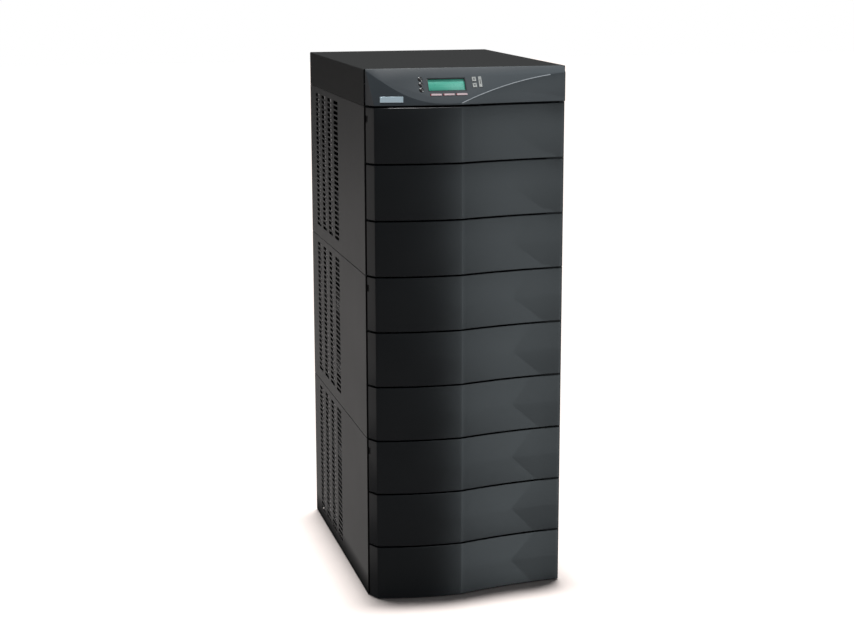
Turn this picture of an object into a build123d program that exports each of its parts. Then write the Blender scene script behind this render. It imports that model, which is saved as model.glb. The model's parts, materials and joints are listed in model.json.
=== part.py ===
"""Tower battery cabinet: three stacked 9U sections under a control head.

Row frame: +Z up, the front faces -Y, and the origin is on the floor at the middle of the
bounding box. All sizes are in millimetres.
"""

import math
import os

from build123d import *

# ---------------------------------------------------------------- driving dimensions
RACK_UNIT = 44.45
BAND_PITCH = 3 * RACK_UNIT  # one fascia band and its share of the gaps
BANDS_PER_SECTION = 3
SECTION_HEIGHT = BANDS_PER_SECTION * BAND_PITCH
HEAD_HEIGHT = 86.0
CABINET_HEIGHT = 3 * SECTION_HEIGHT + HEAD_HEIGHT
CABINET_WIDTH = 490.0
SHELL_DEPTH = 700.0  # side panels, front edge to rear edge
REAR_PROUD = 5.0  # how far the breaker lever stands out behind
GROUND_GAP = 2.0

SHEET = 1.5
FRAME_SHEET = 2.0
WALL = 3.0  # moulded plastic
SEAM = 1.0  # half the gap between two stacked panels
FIT = 0.3
BEARING = 0.05  # radial play of a turning pin

# ---------------------------------------------------------------- plan of the front
# Depths are measured forwards from the side panels' front edge.
FASCIA_HALF_WIDTH = 242.0
FASCIA_BACK = 6.0
CORNER_X, CORNER_DEPTH = -228.0, 34.0
LEFT_MID_X, LEFT_MID_DEPTH = -125.0, 53.0
CREASE_X, CREASE_DEPTH = -22.0, 55.0
RIGHT_MID_X, RIGHT_MID_DEPTH = 110.0, 24.5
RIGHT_DEPTH = 10.0
RETURN_SLOPE = (CORNER_X + FASCIA_HALF_WIDTH) / (CORNER_DEPTH - FASCIA_BACK)


def circle_centre(a, b, c):
    """Centre of the circle through three points of the plan."""
    d = 2 * (a[0] * (b[1] - c[1]) + b[0] * (c[1] - a[1]) + c[0] * (a[1] - b[1]))
    sa, sb, sc = (p[0] ** 2 + p[1] ** 2 for p in (a, b, c))
    x = (sa * (b[1] - c[1]) + sb * (c[1] - a[1]) + sc * (a[1] - b[1])) / d
    y = (sa * (c[0] - b[0]) + sb * (a[0] - c[0]) + sc * (b[0] - a[0])) / d
    return x, y


ARC_CENTRE = circle_centre(
    (CORNER_X, CORNER_DEPTH), (LEFT_MID_X, LEFT_MID_DEPTH), (CREASE_X, CREASE_DEPTH)
)
ARC_RADIUS = math.dist(ARC_CENTRE, (CREASE_X, CREASE_DEPTH))
NOSE = ARC_CENTRE[1] + ARC_RADIUS  # the front's furthest point

OVERALL_DEPTH = NOSE + SHELL_DEPTH + REAR_PROUD
Y_FRONT = NOSE - OVERALL_DEPTH / 2  # the side panels' front edge
Y_REAR = Y_FRONT + SHELL_DEPTH

# ---------------------------------------------------------------- structure
HALF_WIDTH = CABINET_WIDTH / 2
PANEL_INNER_X = HALF_WIDTH - SHEET
POST_X = PANEL_INNER_X
POST_LEG = 26.0
POST_Y_FRONT = Y_FRONT + SHEET
POST_Y_REAR = Y_REAR - SHEET
BAY_X = POST_X - POST_LEG  # the clear half width between posts
FLANGE = 12.0
BASE_DECK_Z = 36.0
BAFFLE_X, BAFFLE_DEPTH = 238.5, 528.0
BAFFLE_WINDOWS, BAFFLE_RIB = 2, 20.0
VENT_ROWS, VENT_ROW_PITCH = 28, 12.75
VENT_COLUMNS, VENT_COLUMN_PITCH = 4, 82.0
VENT_LENGTH, VENT_HEIGHT = 54.0, 8.4
VENT_CENTRE_DEPTH = 471.0  # behind the front edge
VENT_TOP_MARGIN = 21.0

# ---------------------------------------------------------------- battery drawers
TRAY_HALF_WIDTH = 214.5
TRAY_LENGTH = 600.0
TRAY_HEIGHT = 160.0
TRAY_WALL_HEIGHT = 50.0
TRAY_PITCH = 172.0
TRAY_FLOOR_Z = 48.0  # the lower tray's underside, above its section's base
TRAY_FRONT_Y = Y_FRONT + 20.0
BLOCK_WIDTH, BLOCK_LENGTH, BLOCK_HEIGHT = 77.0, 181.0, 146.0
BLOCKS_ACROSS, BLOCKS_DEEP = 5, 3

# ---------------------------------------------------------------- control head
HEAD_Z = 3 * SECTION_HEIGHT
BEZEL_BOTTOM_Z = HEAD_Z + 2.75
BEZEL_MID_DEPTH, BEZEL_CREASE_DEPTH = 51.0, 53.0
BADGE_WIDTH, BADGE_HEIGHT, BADGE_RECESS = 54.0, 13.6, 1.4
BADGE_NORMAL = (-0.189, -1.0, 0.313)
PANEL_LEAN = 52.0 / 82.0  # forwards per millimetre down
PANEL_EDGE_DEPTH = 3.0
PANEL_STRETCH = math.hypot(1.0, PANEL_LEAN)
PANEL_PLANE = Plane(
    origin=(0, Y_FRONT - PANEL_EDGE_DEPTH, CABINET_HEIGHT),
    x_dir=(1, 0, 0),
    z_dir=(0, -1 / PANEL_STRETCH, PANEL_LEAN / PANEL_STRETCH),
)
DISPLAY_X, DISPLAY_DROP = -52.9, 44.2
DISPLAY_WIDTH, DISPLAY_HEIGHT = 92.0, 34.0
BOARD_DEPTH = 14.0
BOARD_X, BOARD_DROP, BOARD_WIDTH, BOARD_HEIGHT = -39.0, 45.5, 170.0, 63.0
BOSSES = [(x, drop) for x in (-117.0, 30.0) for drop in (19.0, 71.0)]
STATUS_X, STATUS_DROPS = -115.0, (29.4, 43.4, 57.6)
STATUS_RADIUS = 4.6
KEY_TRAVEL = 1.0
KEY_DEPTH, KEY_STAND = WALL + FIT, 1.5
SWITCH_HEIGHT = 0.9
KEYS = {  # name: (x, drop down the sloping face, width, height)
    "soft_key_left": (-82.2, 70.8, 27.2, 4.6),
    "soft_key_middle": (-51.4, 70.8, 27.2, 4.6),
    "soft_key_right": (-20.6, 70.8, 27.2, 4.6),
    "up_key": (14.2, 32.0, 9.6, 10.8),
    "down_key": (14.2, 47.9, 9.6, 10.8),
    "enter_key": (28.4, 39.3, 7.6, 27.4),
}

# ---------------------------------------------------------------- rear of the upper section
FAN_SIZE, FAN_THICKNESS, FAN_BORE = 119.0, 25.0, 57.0
FAN_XS, FAN_Z = (-140.0, -5.0), 3 * SECTION_HEIGHT - 150.0
ROTOR_RADIUS, HUB_RADIUS, SHAFT_RADIUS = 54.0, 22.0, 3.0
BREAKER_X, BREAKER_Z = 130.0, 3 * SECTION_HEIGHT - 150.0
BREAKER_WIDTH, BREAKER_HEIGHT, BREAKER_DEPTH = 53.0, 90.0, 60.0
BREAKER_NOSE_HEIGHT = 45.0
LEVER_PIVOT_Y = Y_REAR - 16.0
CONDUIT_X, CONDUIT_RADIUS = 130.0, 22.0
CONDUIT_Z = 2 * SECTION_HEIGHT + 90.0
ANCHOR_SPACING_X, ANCHOR_SPACING_Z, ANCHOR_RADIUS = 360.0, 60.0, 3.5
ANCHOR_Z = 90.0
SCREW_RADIUS = 2.0
SCREW_X = 225.0
SCREW_EDGE = 18.0

# ---------------------------------------------------------------- feet and latches
FOOT_X, FOOT_INSET_Y = 190.0, 60.0
STUD_RADIUS, PAD_RADIUS, PAD_HEIGHT = 5.0, 20.0, 8.0
LATCH_DROP, LATCH_HEIGHT = 29.0, 16.0
LATCH_TRAVEL = 4.0

SECTIONS = ("lower", "middle", "upper")


def write(part, name):
    """Labels a finished piece and writes its STEP file."""
    part.label = name
    export_step(part, f"parts/{name}.step")


def block(x0, x1, y0, y1, z0, z1, mode=Mode.ADD):
    """A box between two corners, added to the part in hand."""
    with Locations(((x0 + x1) / 2, (y0 + y1) / 2, (z0 + z1) / 2)):
        Box(abs(x1 - x0), abs(y1 - y0), abs(z1 - z0), mode=mode)


def section_base(index):
    return index * SECTION_HEIGHT


def section_top(index):
    return (index + 1) * SECTION_HEIGHT


def panel_bottom(index):
    return GROUND_GAP if index == 0 else section_base(index) + SEAM


# ================================================================ section frames
def post(x_side, y_outer, y_side, z0, z1):
    """One corner angle. y_side points from the corner into the cabinet."""
    x_outer = x_side * POST_X
    x_inner = x_side * (POST_X - POST_LEG)
    y_inner = y_outer + y_side * POST_LEG
    web_x = x_outer - x_side * FRAME_SHEET
    web_y = y_outer + y_side * FRAME_SHEET
    with BuildSketch(Plane.XY.offset(z0)) as outline:
        with BuildLine():
            Polyline(
                (x_outer, y_outer),
                (x_inner, y_outer),
                (x_inner, web_y),
                (web_x, web_y),
                (web_x, y_inner),
                (x_outer, y_inner),
                close=True,
            )
        make_face()
    extrude(outline.sketch, amount=z1 - z0)


def runner(x_side, z):
    """One drawer runner: an angle whose shelf carries the tray at height z."""
    inner = x_side * BAY_X
    y0, y1 = POST_Y_FRONT, POST_Y_REAR
    upright = inner - x_side * FRAME_SHEET
    shelf = upright - x_side * 22.0
    with BuildSketch(Plane.XZ.offset(-y0)) as outline:
        with BuildLine():
            Polyline(
                (inner, z + 28.0),
                (inner, z - FRAME_SHEET),
                (shelf, z - FRAME_SHEET),
                (shelf, z),
                (upright, z),
                (upright, z + 28.0),
                close=True,
            )
        make_face()
    extrude(outline.sketch, amount=-(y1 - y0))


def vent_baffle(x_side, z0, z1):
    """A ladder of three upright ribs behind the side vents."""
    centre_y = Y_FRONT + BAFFLE_DEPTH
    half = BAFFLE_WINDOWS * VENT_COLUMN_PITCH / 2 + BAFFLE_RIB / 2 + 6.0
    window = (VENT_COLUMN_PITCH - BAFFLE_RIB) / 2
    outer, inner = x_side * BAFFLE_X, x_side * (BAFFLE_X - SHEET)
    block(inner, outer, centre_y - half, centre_y + half, z0, z1)
    for n in range(BAFFLE_WINDOWS):
        y = centre_y + (n - (BAFFLE_WINDOWS - 1) / 2) * VENT_COLUMN_PITCH
        block(
            inner - x_side, outer + x_side, y - window, y + window, z0 + 15.0, z1 - 15.0,
            mode=Mode.SUBTRACT,
        )


def rear_screw_places(index):
    """Where the rear panel's four screws go, as (x, z)."""
    z0, z1 = panel_bottom(index), section_top(index) - SEAM
    if index == 0:
        z0 = BASE_DECK_Z + FRAME_SHEET
    return [
        (side * SCREW_X, z) for side in (-1, 1) for z in (z0 + SCREW_EDGE, z1 - SCREW_EDGE)
    ]


def drill_rear(places, radius, y0, y1):
    """Round holes along Y through what stands between y0 and y1."""
    with BuildSketch(Plane.XZ.offset(-y0)) as holes:
        with Locations(*places):
            Circle(radius)
    extrude(holes.sketch, amount=-(y1 - y0), mode=Mode.SUBTRACT)


def foot_places():
    return [
        (side * FOOT_X, y)
        for side in (-1, 1)
        for y in (Y_FRONT + FOOT_INSET_Y, Y_REAR - FOOT_INSET_Y)
    ]


def section_frame(index):
    """A welded frame: deck, corner angles, top flange, vent baffles and drawer runners."""
    deck_z = BASE_DECK_Z if index == 0 else section_base(index)
    top = section_top(index)
    z0, z1 = deck_z + FRAME_SHEET, top - FRAME_SHEET
    members = []
    with BuildPart() as deck:
        block(-POST_X, POST_X, POST_Y_FRONT, POST_Y_REAR, deck_z, z0)
        if index == 0:
            with Locations(*[(x, y, deck_z) for x, y in foot_places()]):
                Cylinder(STUD_RADIUS + BEARING, 5 * FRAME_SHEET, mode=Mode.SUBTRACT)
    members.append(deck)
    for x_side in (-1, 1):
        for y_outer, y_side in ((POST_Y_FRONT, 1), (POST_Y_REAR, -1)):
            with BuildPart() as angle:
                post(x_side, y_outer, y_side, z0, z1)
                if y_side < 0:
                    drill_rear(
                        rear_screw_places(index), SCREW_RADIUS + 0.1, y_outer - 5.0, y_outer + 1.0
                    )
            members.append(angle)
        with BuildPart() as side_flange:
            block(x_side * BAY_X, x_side * POST_X, POST_Y_FRONT, POST_Y_REAR, z1, top)
        with BuildPart() as baffle:
            vent_baffle(x_side, z0, z1)
        members += [side_flange, baffle]
        if index < 2:
            for level in range(2):
                with BuildPart() as rail:
                    runner(x_side, section_base(index) + TRAY_FLOOR_Z + level * TRAY_PITCH)
                members.append(rail)
    for y0, y1 in ((POST_Y_FRONT, POST_Y_FRONT + 20.0), (POST_Y_REAR - 20.0, POST_Y_REAR)):
        with BuildPart() as cross_flange:
            block(-BAY_X, BAY_X, y0, y1, z1, top)
        members.append(cross_flange)
    if index == 0:
        with BuildPart() as foot_nuts:
            with Locations(*[(x, y, deck_z - 9.0) for x, y in foot_places()]):
                Cylinder(12.0, 18.0)
                Cylinder(STUD_RADIUS + BEARING, 18.0, mode=Mode.SUBTRACT)
        members.append(foot_nuts)
    with BuildPart() as frame:
        add([member.part for member in members])
    write(frame.part, f"{SECTIONS[index]}_section_frame")


# ================================================================ sheet-metal skins
def side_panel(index, side):
    """A folded side panel with four columns of vent slots."""
    x_side = -1 if side == "left" else 1
    z0, z1 = panel_bottom(index), section_top(index) - SEAM
    outer, inner = x_side * HALF_WIDTH, x_side * PANEL_INNER_X
    fold = outer - x_side * FLANGE
    with BuildPart() as panel:
        block(inner, outer, Y_FRONT, Y_REAR, z0, z1)
        block(fold, outer, Y_FRONT, Y_FRONT + SHEET, z0, z1)
        block(fold, outer, Y_REAR - SHEET, Y_REAR, z0, z1)
        outer_folds = (
            panel.edges().filter_by(Axis.Z).filter_by(lambda e: abs(e.center().X - outer) < 0.01)
        )
        fillet(outer_folds, 1.2)
        rows_centre = section_top(index) - VENT_TOP_MARGIN - (VENT_ROWS - 1) * VENT_ROW_PITCH / 2
        with BuildSketch(Plane.YZ.offset(min(inner, outer))):
            with Locations((Y_FRONT + VENT_CENTRE_DEPTH, rows_centre)):
                with GridLocations(VENT_COLUMN_PITCH, VENT_ROW_PITCH, VENT_COLUMNS, VENT_ROWS):
                    Rectangle(VENT_LENGTH, VENT_HEIGHT)
        extrude(amount=SHEET, clean=False, mode=Mode.SUBTRACT)
    write(panel.part, f"{SECTIONS[index]}_{side}_panel")


def fan_plane(x, y):
    """A workplane across a fan's axis, facing the front."""
    return Plane(origin=(x, y, FAN_Z), x_dir=(1, 0, 0), z_dir=(0, -1, 0))


def fan_guard_slots():
    """The ring-shaped slots punched in front of one fan, as a sketch at the origin."""
    for r_in, r_out in ((16.0, 22.0), (27.0, 33.0), (38.0, 44.0), (49.0, 55.0)):
        Circle(r_out)
        Circle(r_in, mode=Mode.SUBTRACT)
    for turn in (45.0, 135.0):
        Rectangle(120.0, 5.0, rotation=turn, mode=Mode.SUBTRACT)


def rear_panel(index):
    """A flat rear panel between the side panels' rear flanges."""
    z0, z1 = panel_bottom(index), section_top(index) - SEAM
    half = HALF_WIDTH - FLANGE - SEAM
    y0, y1 = Y_REAR - SHEET, Y_REAR
    with BuildPart() as panel:
        block(-half, half, y0, y1, z0, z1)
        drill_rear(rear_screw_places(index), SCREW_RADIUS + 0.2, y0 - 1.0, y1 + 1.0)
        if index == 2:
            for fan_x in FAN_XS:
                with BuildSketch(fan_plane(fan_x, y0)):
                    fan_guard_slots()
                extrude(amount=-SHEET, clean=False, mode=Mode.SUBTRACT)
            block(
                BREAKER_X - BREAKER_WIDTH / 2 - FIT,
                BREAKER_X + BREAKER_WIDTH / 2 + FIT,
                y0 - 1.0,
                y1 + 1.0,
                BREAKER_Z - BREAKER_NOSE_HEIGHT / 2 - FIT,
                BREAKER_Z + BREAKER_NOSE_HEIGHT / 2 + FIT,
                mode=Mode.SUBTRACT,
            )
            drill_rear([(CONDUIT_X, CONDUIT_Z)], CONDUIT_RADIUS, y0 - 1.0, y1 + 1.0)
        else:
            with BuildSketch(Plane.XZ.offset(-y0)):
                with Locations((0, (z0 + z1) / 2 + 40.0)):
                    with GridLocations(92.0, VENT_ROW_PITCH, 4, 14):
                        Rectangle(VENT_LENGTH, VENT_HEIGHT)
            extrude(amount=-SHEET, clean=False, mode=Mode.SUBTRACT)
        if index == 0:
            anchors = [
                (sx * ANCHOR_SPACING_X / 2, ANCHOR_Z + sz * ANCHOR_SPACING_Z / 2)
                for sx in (-1, 1)
                for sz in (-1, 1)
            ]
            drill_rear(anchors, ANCHOR_RADIUS, y0 - 1.0, y1 + 1.0)
    write(panel.part, f"{SECTIONS[index]}_rear_panel")


def top_cover():
    """The folded lid over the control head, open at the front and below."""
    z0, z1 = HEAD_Z, CABINET_HEIGHT
    rear_screws = [(x, z0 + 45.0) for x in (-180.0, 0.0, 180.0)]
    with BuildPart() as cover:
        block(-HALF_WIDTH, HALF_WIDTH, Y_FRONT, Y_REAR, z0, z1)
        outside = cover.edges().filter_by(Axis.Y).group_by(Axis.Z)[-1]
        rear_uprights = cover.edges().filter_by(Axis.Z).group_by(Axis.Y)[-1]
        rear_top = cover.edges().filter_by(Axis.X).group_by(Axis.Z)[-1].sort_by(Axis.Y)[-1]
        fillet(outside + rear_uprights + ShapeList([rear_top]), 2.5)
        block(
            -PANEL_INNER_X,
            PANEL_INNER_X,
            Y_FRONT - 1.0,
            Y_REAR - SHEET,
            z0 + SHEET,
            z1 - SHEET,
            mode=Mode.SUBTRACT,
        )
        block(
            -(HALF_WIDTH - FLANGE),
            HALF_WIDTH - FLANGE,
            Y_FRONT - 1.0,
            Y_REAR - FLANGE,
            z0 - 1.0,
            z0 + 2 * SHEET,
            mode=Mode.SUBTRACT,
        )
        drill_rear(rear_screws, SCREW_RADIUS + 0.2, Y_REAR - 5.0, Y_REAR + 1.0)
    write(cover.part, "top_cover")
    return rear_screws


def panel_screws(cover_places):
    """Pan-head screws of the rear panels and the top cover."""
    places = [place for index in range(3) for place in rear_screw_places(index)] + cover_places
    with BuildPart() as screws:
        with BuildSketch(Plane.XZ.offset(-Y_REAR)):
            with Locations(*places):
                Circle(4.0)
        extrude(amount=-2.4)
        chamfer(screws.faces().sort_by(Axis.Y).filter_by(Axis.Y)[-len(places) :].edges(), 0.8)
        with BuildSketch(Plane.XZ.offset(-Y_REAR)):
            with Locations(*places):
                Circle(SCREW_RADIUS)
        extrude(amount=7.0)
        with BuildSketch(Plane.XZ.offset(-(Y_REAR + 2.4))):
            with Locations(*places):
                Rectangle(4.6, 0.9)
                Rectangle(0.9, 4.6)
        extrude(amount=1.2, mode=Mode.SUBTRACT)
    write(screws.part, "panel_screws")


# ================================================================ front covers
def plan_outline(back_depth):
    """The wavy plan of the front, closed by a straight back at back_depth."""
    left_x = -FASCIA_HALF_WIDTH + RETURN_SLOPE * (back_depth - FASCIA_BACK)
    corner = (CORNER_X, Y_FRONT - CORNER_DEPTH)
    crease = (CREASE_X, Y_FRONT - CREASE_DEPTH)
    end = (FASCIA_HALF_WIDTH, Y_FRONT - RIGHT_DEPTH)
    with BuildLine() as outline:
        Line((left_x, Y_FRONT - back_depth), corner)
        ThreePointArc(corner, (LEFT_MID_X, Y_FRONT - LEFT_MID_DEPTH), crease)
        ThreePointArc(crease, (RIGHT_MID_X, Y_FRONT - RIGHT_MID_DEPTH), end)
        Line(end, (FASCIA_HALF_WIDTH, Y_FRONT - back_depth))
        Line((FASCIA_HALF_WIDTH, Y_FRONT - back_depth), (left_x, Y_FRONT - back_depth))
    make_face(outline.line)


def latch_centre(index):
    return section_top(index) - LATCH_DROP


def fascia_band(index, number):
    """One moulded band, hollow behind. Band 1 is the section's top one and has the latch notch."""
    z1 = section_top(index) - (number - 1) * BAND_PITCH - 1.75
    z0 = max(z1 - BAND_PITCH + 3.5, GROUND_GAP)
    with BuildPart() as band:
        with BuildSketch(Plane.XY.offset(z0)):
            plan_outline(FASCIA_BACK)
        extrude(amount=z1 - z0)
        rims = [
            edge
            for face in band.faces().filter_by(Axis.Z)
            for edge in face.edges()
            if edge.center().Y < Y_FRONT - FASCIA_BACK - 0.1
        ]
        fillet(rims, 1.5)
        with BuildSketch(Plane.XY.offset(z0 + WALL)):
            plan_outline(FASCIA_BACK - 2 * WALL)
            offset(amount=-WALL, kind=Kind.INTERSECTION, mode=Mode.REPLACE)
        extrude(amount=z1 - z0 - 2 * WALL, mode=Mode.SUBTRACT)
        if number == 1:
            z = latch_centre(index)
            half = LATCH_HEIGHT / 2
            block(
                -FASCIA_HALF_WIDTH - 2.0,
                -232.0,
                Y_FRONT - 12.0,
                Y_FRONT - FASCIA_BACK + 1.0,
                z - half,
                z + half,
                mode=Mode.SUBTRACT,
            )
    write(band.part, f"{SECTIONS[index]}_fascia_{number}")


def cover_frame(index):
    """The carrier that a section's three bands clip to: a shallow pan with two air slots."""
    z0 = max(section_base(index) + 4.0, GROUND_GAP + 2.0)
    z1 = section_top(index) - 4.0
    half = 238.0
    y_face, y_back = Y_FRONT - FASCIA_BACK, Y_FRONT - 0.5
    with BuildPart() as frame:
        block(-half, half, y_face, y_back, z0, z1)
        block(
            -half + WALL,
            half - WALL,
            y_face + 2.5,
            y_back + 1.0,
            z0 + WALL,
            z1 - WALL,
            mode=Mode.SUBTRACT,
        )
        for number in (1, 2):
            gap_z = section_top(index) - number * BAND_PITCH
            for x0, x1 in ((-200.0, -10.0), (10.0, 200.0)):
                block(x0, x1, y_face - 1, y_back, gap_z - 1.5, gap_z + 1.5, mode=Mode.SUBTRACT)
        z = latch_centre(index)
        half_latch = LATCH_HEIGHT / 2
        block(
            -half - 1.0, -212.0, y_face - 1.0, y_back + 1.0, z - half_latch, z + half_latch,
            mode=Mode.SUBTRACT,
        )
    write(frame.part, f"{SECTIONS[index]}_cover_frame")


def cover_latch(index):
    """The release tab of a cover: a thumb pad in the band's notch on a flat slider."""
    z = latch_centre(index)
    half = LATCH_HEIGHT / 2 - 0.5
    with BuildPart() as latch:
        block(-237.0, -217.0, Y_FRONT - 5.0, Y_FRONT - 1.5, z - half, z + half)
        block(-240.3, -236.0, Y_FRONT - 11.0, Y_FRONT - 1.5, z - half, z + half)
        for rib in (-4.0, 0.0, 4.0):
            block(-240.3, -239.5, Y_FRONT - 11.0, Y_FRONT - 5.0, z + rib - 0.6, z + rib + 0.6,
                  mode=Mode.SUBTRACT)
    write(latch.part, f"{SECTIONS[index]}_cover_latch")


# ================================================================ battery drawers
def battery_tray(index, number):
    """A folded pan with a tall front and a pull lip. Tray 1 is the upper one."""
    z0 = section_base(index) + TRAY_FLOOR_Z + (2 - number) * TRAY_PITCH
    x0, x1 = -TRAY_HALF_WIDTH, TRAY_HALF_WIDTH
    y0, y1 = TRAY_FRONT_Y, TRAY_FRONT_Y + TRAY_LENGTH
    lip_y = y0 - 12.0
    z_top = z0 + TRAY_HEIGHT
    with BuildPart() as tray:
        block(x0, x1, y0, y1, z0, z0 + SHEET)
        block(x0, x0 + SHEET, y0, y1, z0, z0 + TRAY_WALL_HEIGHT)
        block(x1 - SHEET, x1, y0, y1, z0, z0 + TRAY_WALL_HEIGHT)
        block(x0, x1, y1 - SHEET, y1, z0, z0 + TRAY_WALL_HEIGHT)
        block(x0, x1, y0, y0 + SHEET, z0, z_top)
        block(x0, x1, lip_y, y0 + SHEET, z_top - SHEET, z_top)
        block(x0, x1, lip_y, lip_y + SHEET, z_top - 12.0, z_top)
    write(tray.part, f"{SECTIONS[index]}_tray_{number}")


def battery_string(index, number):
    """Fifteen battery blocks, each with its two terminal posts."""
    z0 = section_base(index) + TRAY_FLOOR_Z + (2 - number) * TRAY_PITCH + SHEET
    centre_y = TRAY_FRONT_Y + TRAY_LENGTH / 2
    with BuildPart() as string:
        with Locations((0, centre_y, z0 + BLOCK_HEIGHT / 2)):
            with GridLocations(
                BLOCK_WIDTH + 4.0, BLOCK_LENGTH + 6.0, BLOCKS_ACROSS, BLOCKS_DEEP
            ):
                Box(BLOCK_WIDTH, BLOCK_LENGTH, BLOCK_HEIGHT)
        with BuildSketch(Plane.XY.offset(z0 + BLOCK_HEIGHT)):
            with Locations((0, centre_y)):
                with GridLocations(
                    BLOCK_WIDTH + 4.0, BLOCK_LENGTH + 6.0, BLOCKS_ACROSS, BLOCKS_DEEP
                ):
                    with GridLocations(0, 150.0, 1, 2):
                        Rectangle(14.0, 14.0)
        extrude(amount=5.0)
    write(string.part, f"{SECTIONS[index]}_battery_string_{number}")


# ================================================================ control head
def bezel_outline(z, top, back_depth, inset=0.0):
    """The bezel's plan at height z. At the top its left part is drawn back to a straight line."""
    half = FASCIA_HALF_WIDTH
    corner = (-half + 0.2, Y_FRONT - 4.0) if top else (CORNER_X, Y_FRONT - CORNER_DEPTH)
    crease = (CREASE_X, Y_FRONT - BEZEL_CREASE_DEPTH)
    middle = (
        ((corner[0] + crease[0]) / 2, (corner[1] + crease[1]) / 2 - 0.5)
        if top
        else (LEFT_MID_X, Y_FRONT - BEZEL_MID_DEPTH)
    )
    end = (half, Y_FRONT - RIGHT_DEPTH - 3.0)
    right_middle = (RIGHT_MID_X, Y_FRONT - RIGHT_MID_DEPTH - 2.0)
    with BuildSketch(Plane.XY.offset(z)) as outline:
        with BuildLine():
            Line((-half, Y_FRONT - back_depth), corner)
            ThreePointArc(corner, middle, crease)
            ThreePointArc(crease, right_middle, end)
            Line(end, (half, Y_FRONT - back_depth))
            Line((half, Y_FRONT - back_depth), (-half, Y_FRONT - back_depth))
        make_face()
        if inset:
            offset(amount=-inset, kind=Kind.INTERSECTION, mode=Mode.REPLACE)
    return outline.sketch.face()


def bezel_body(back_depth, inset=0.0):
    """The bezel before it is cut: a ruled loft from its bottom plan to its top plan."""
    loft(
        [
            bezel_outline(BEZEL_BOTTOM_Z, False, back_depth, inset),
            bezel_outline(CABINET_HEIGHT, True, back_depth, inset),
        ],
        ruled=True,
    )


def panel_spot(x, drop, depth=0.0):
    """A workplane on the sloping face, at x and drop down from its top edge, depth inside."""
    return Plane(
        origin=PANEL_PLANE.from_local_coords((x, -drop, -depth)),
        x_dir=PANEL_PLANE.x_dir,
        z_dir=PANEL_PLANE.z_dir,
    )


def badge_plane():
    """The workplane of the blank badge, on the leaning left cheek of the bezel."""
    return Plane(
        origin=(-187.5, Y_FRONT - 38.0, 1217.0),
        x_dir=(1.0, BADGE_NORMAL[0], 0.0),
        z_dir=BADGE_NORMAL,
    )


def control_bezel():
    """The moulded head: wavy like the bands below, with a flat sloping control face cut into it."""
    with BuildPart() as cavity:
        bezel_body(-2 * WALL, WALL)
        split(bisect_by=PANEL_PLANE.offset(-WALL), keep=Keep.BOTTOM)
        block(
            -HALF_WIDTH,
            HALF_WIDTH,
            Y_FRONT - 100.0,
            Y_FRONT + 2 * WALL,
            HEAD_Z,
            BEZEL_BOTTOM_Z + WALL,
            mode=Mode.SUBTRACT,
        )
    with BuildPart() as bezel:
        bezel_body(0.0)
        split(bisect_by=PANEL_PLANE, keep=Keep.BOTTOM)
        add(cavity.part, mode=Mode.SUBTRACT)
        for side_x, drop in BOSSES:
            with BuildSketch(panel_spot(side_x, drop, BOARD_DEPTH)):
                Circle(3.5)
            extrude(amount=BOARD_DEPTH - WALL + 0.5)
        with BuildSketch(panel_spot(DISPLAY_X, DISPLAY_DROP)):
            Rectangle(DISPLAY_WIDTH + 2 * 0.2, DISPLAY_HEIGHT + 2 * 0.2)
        extrude(amount=-12.0, mode=Mode.SUBTRACT)
        for drop in STATUS_DROPS:
            with BuildSketch(panel_spot(STATUS_X, drop)):
                Circle(STATUS_RADIUS + 0.1)
            extrude(amount=-12.0, mode=Mode.SUBTRACT)
        for x, drop, width, height in KEYS.values():
            with BuildSketch(panel_spot(x, drop)):
                Rectangle(width + 2 * FIT, height + 2 * FIT)
            extrude(amount=-12.0, mode=Mode.SUBTRACT)
        with BuildSketch(badge_plane().offset(-BADGE_RECESS)):
            RectangleRounded(BADGE_WIDTH + 2 * 0.2, BADGE_HEIGHT + 2 * 0.2, 1.0)
        extrude(amount=10.0, mode=Mode.SUBTRACT)
    write(bezel.part, "control_bezel")


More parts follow.
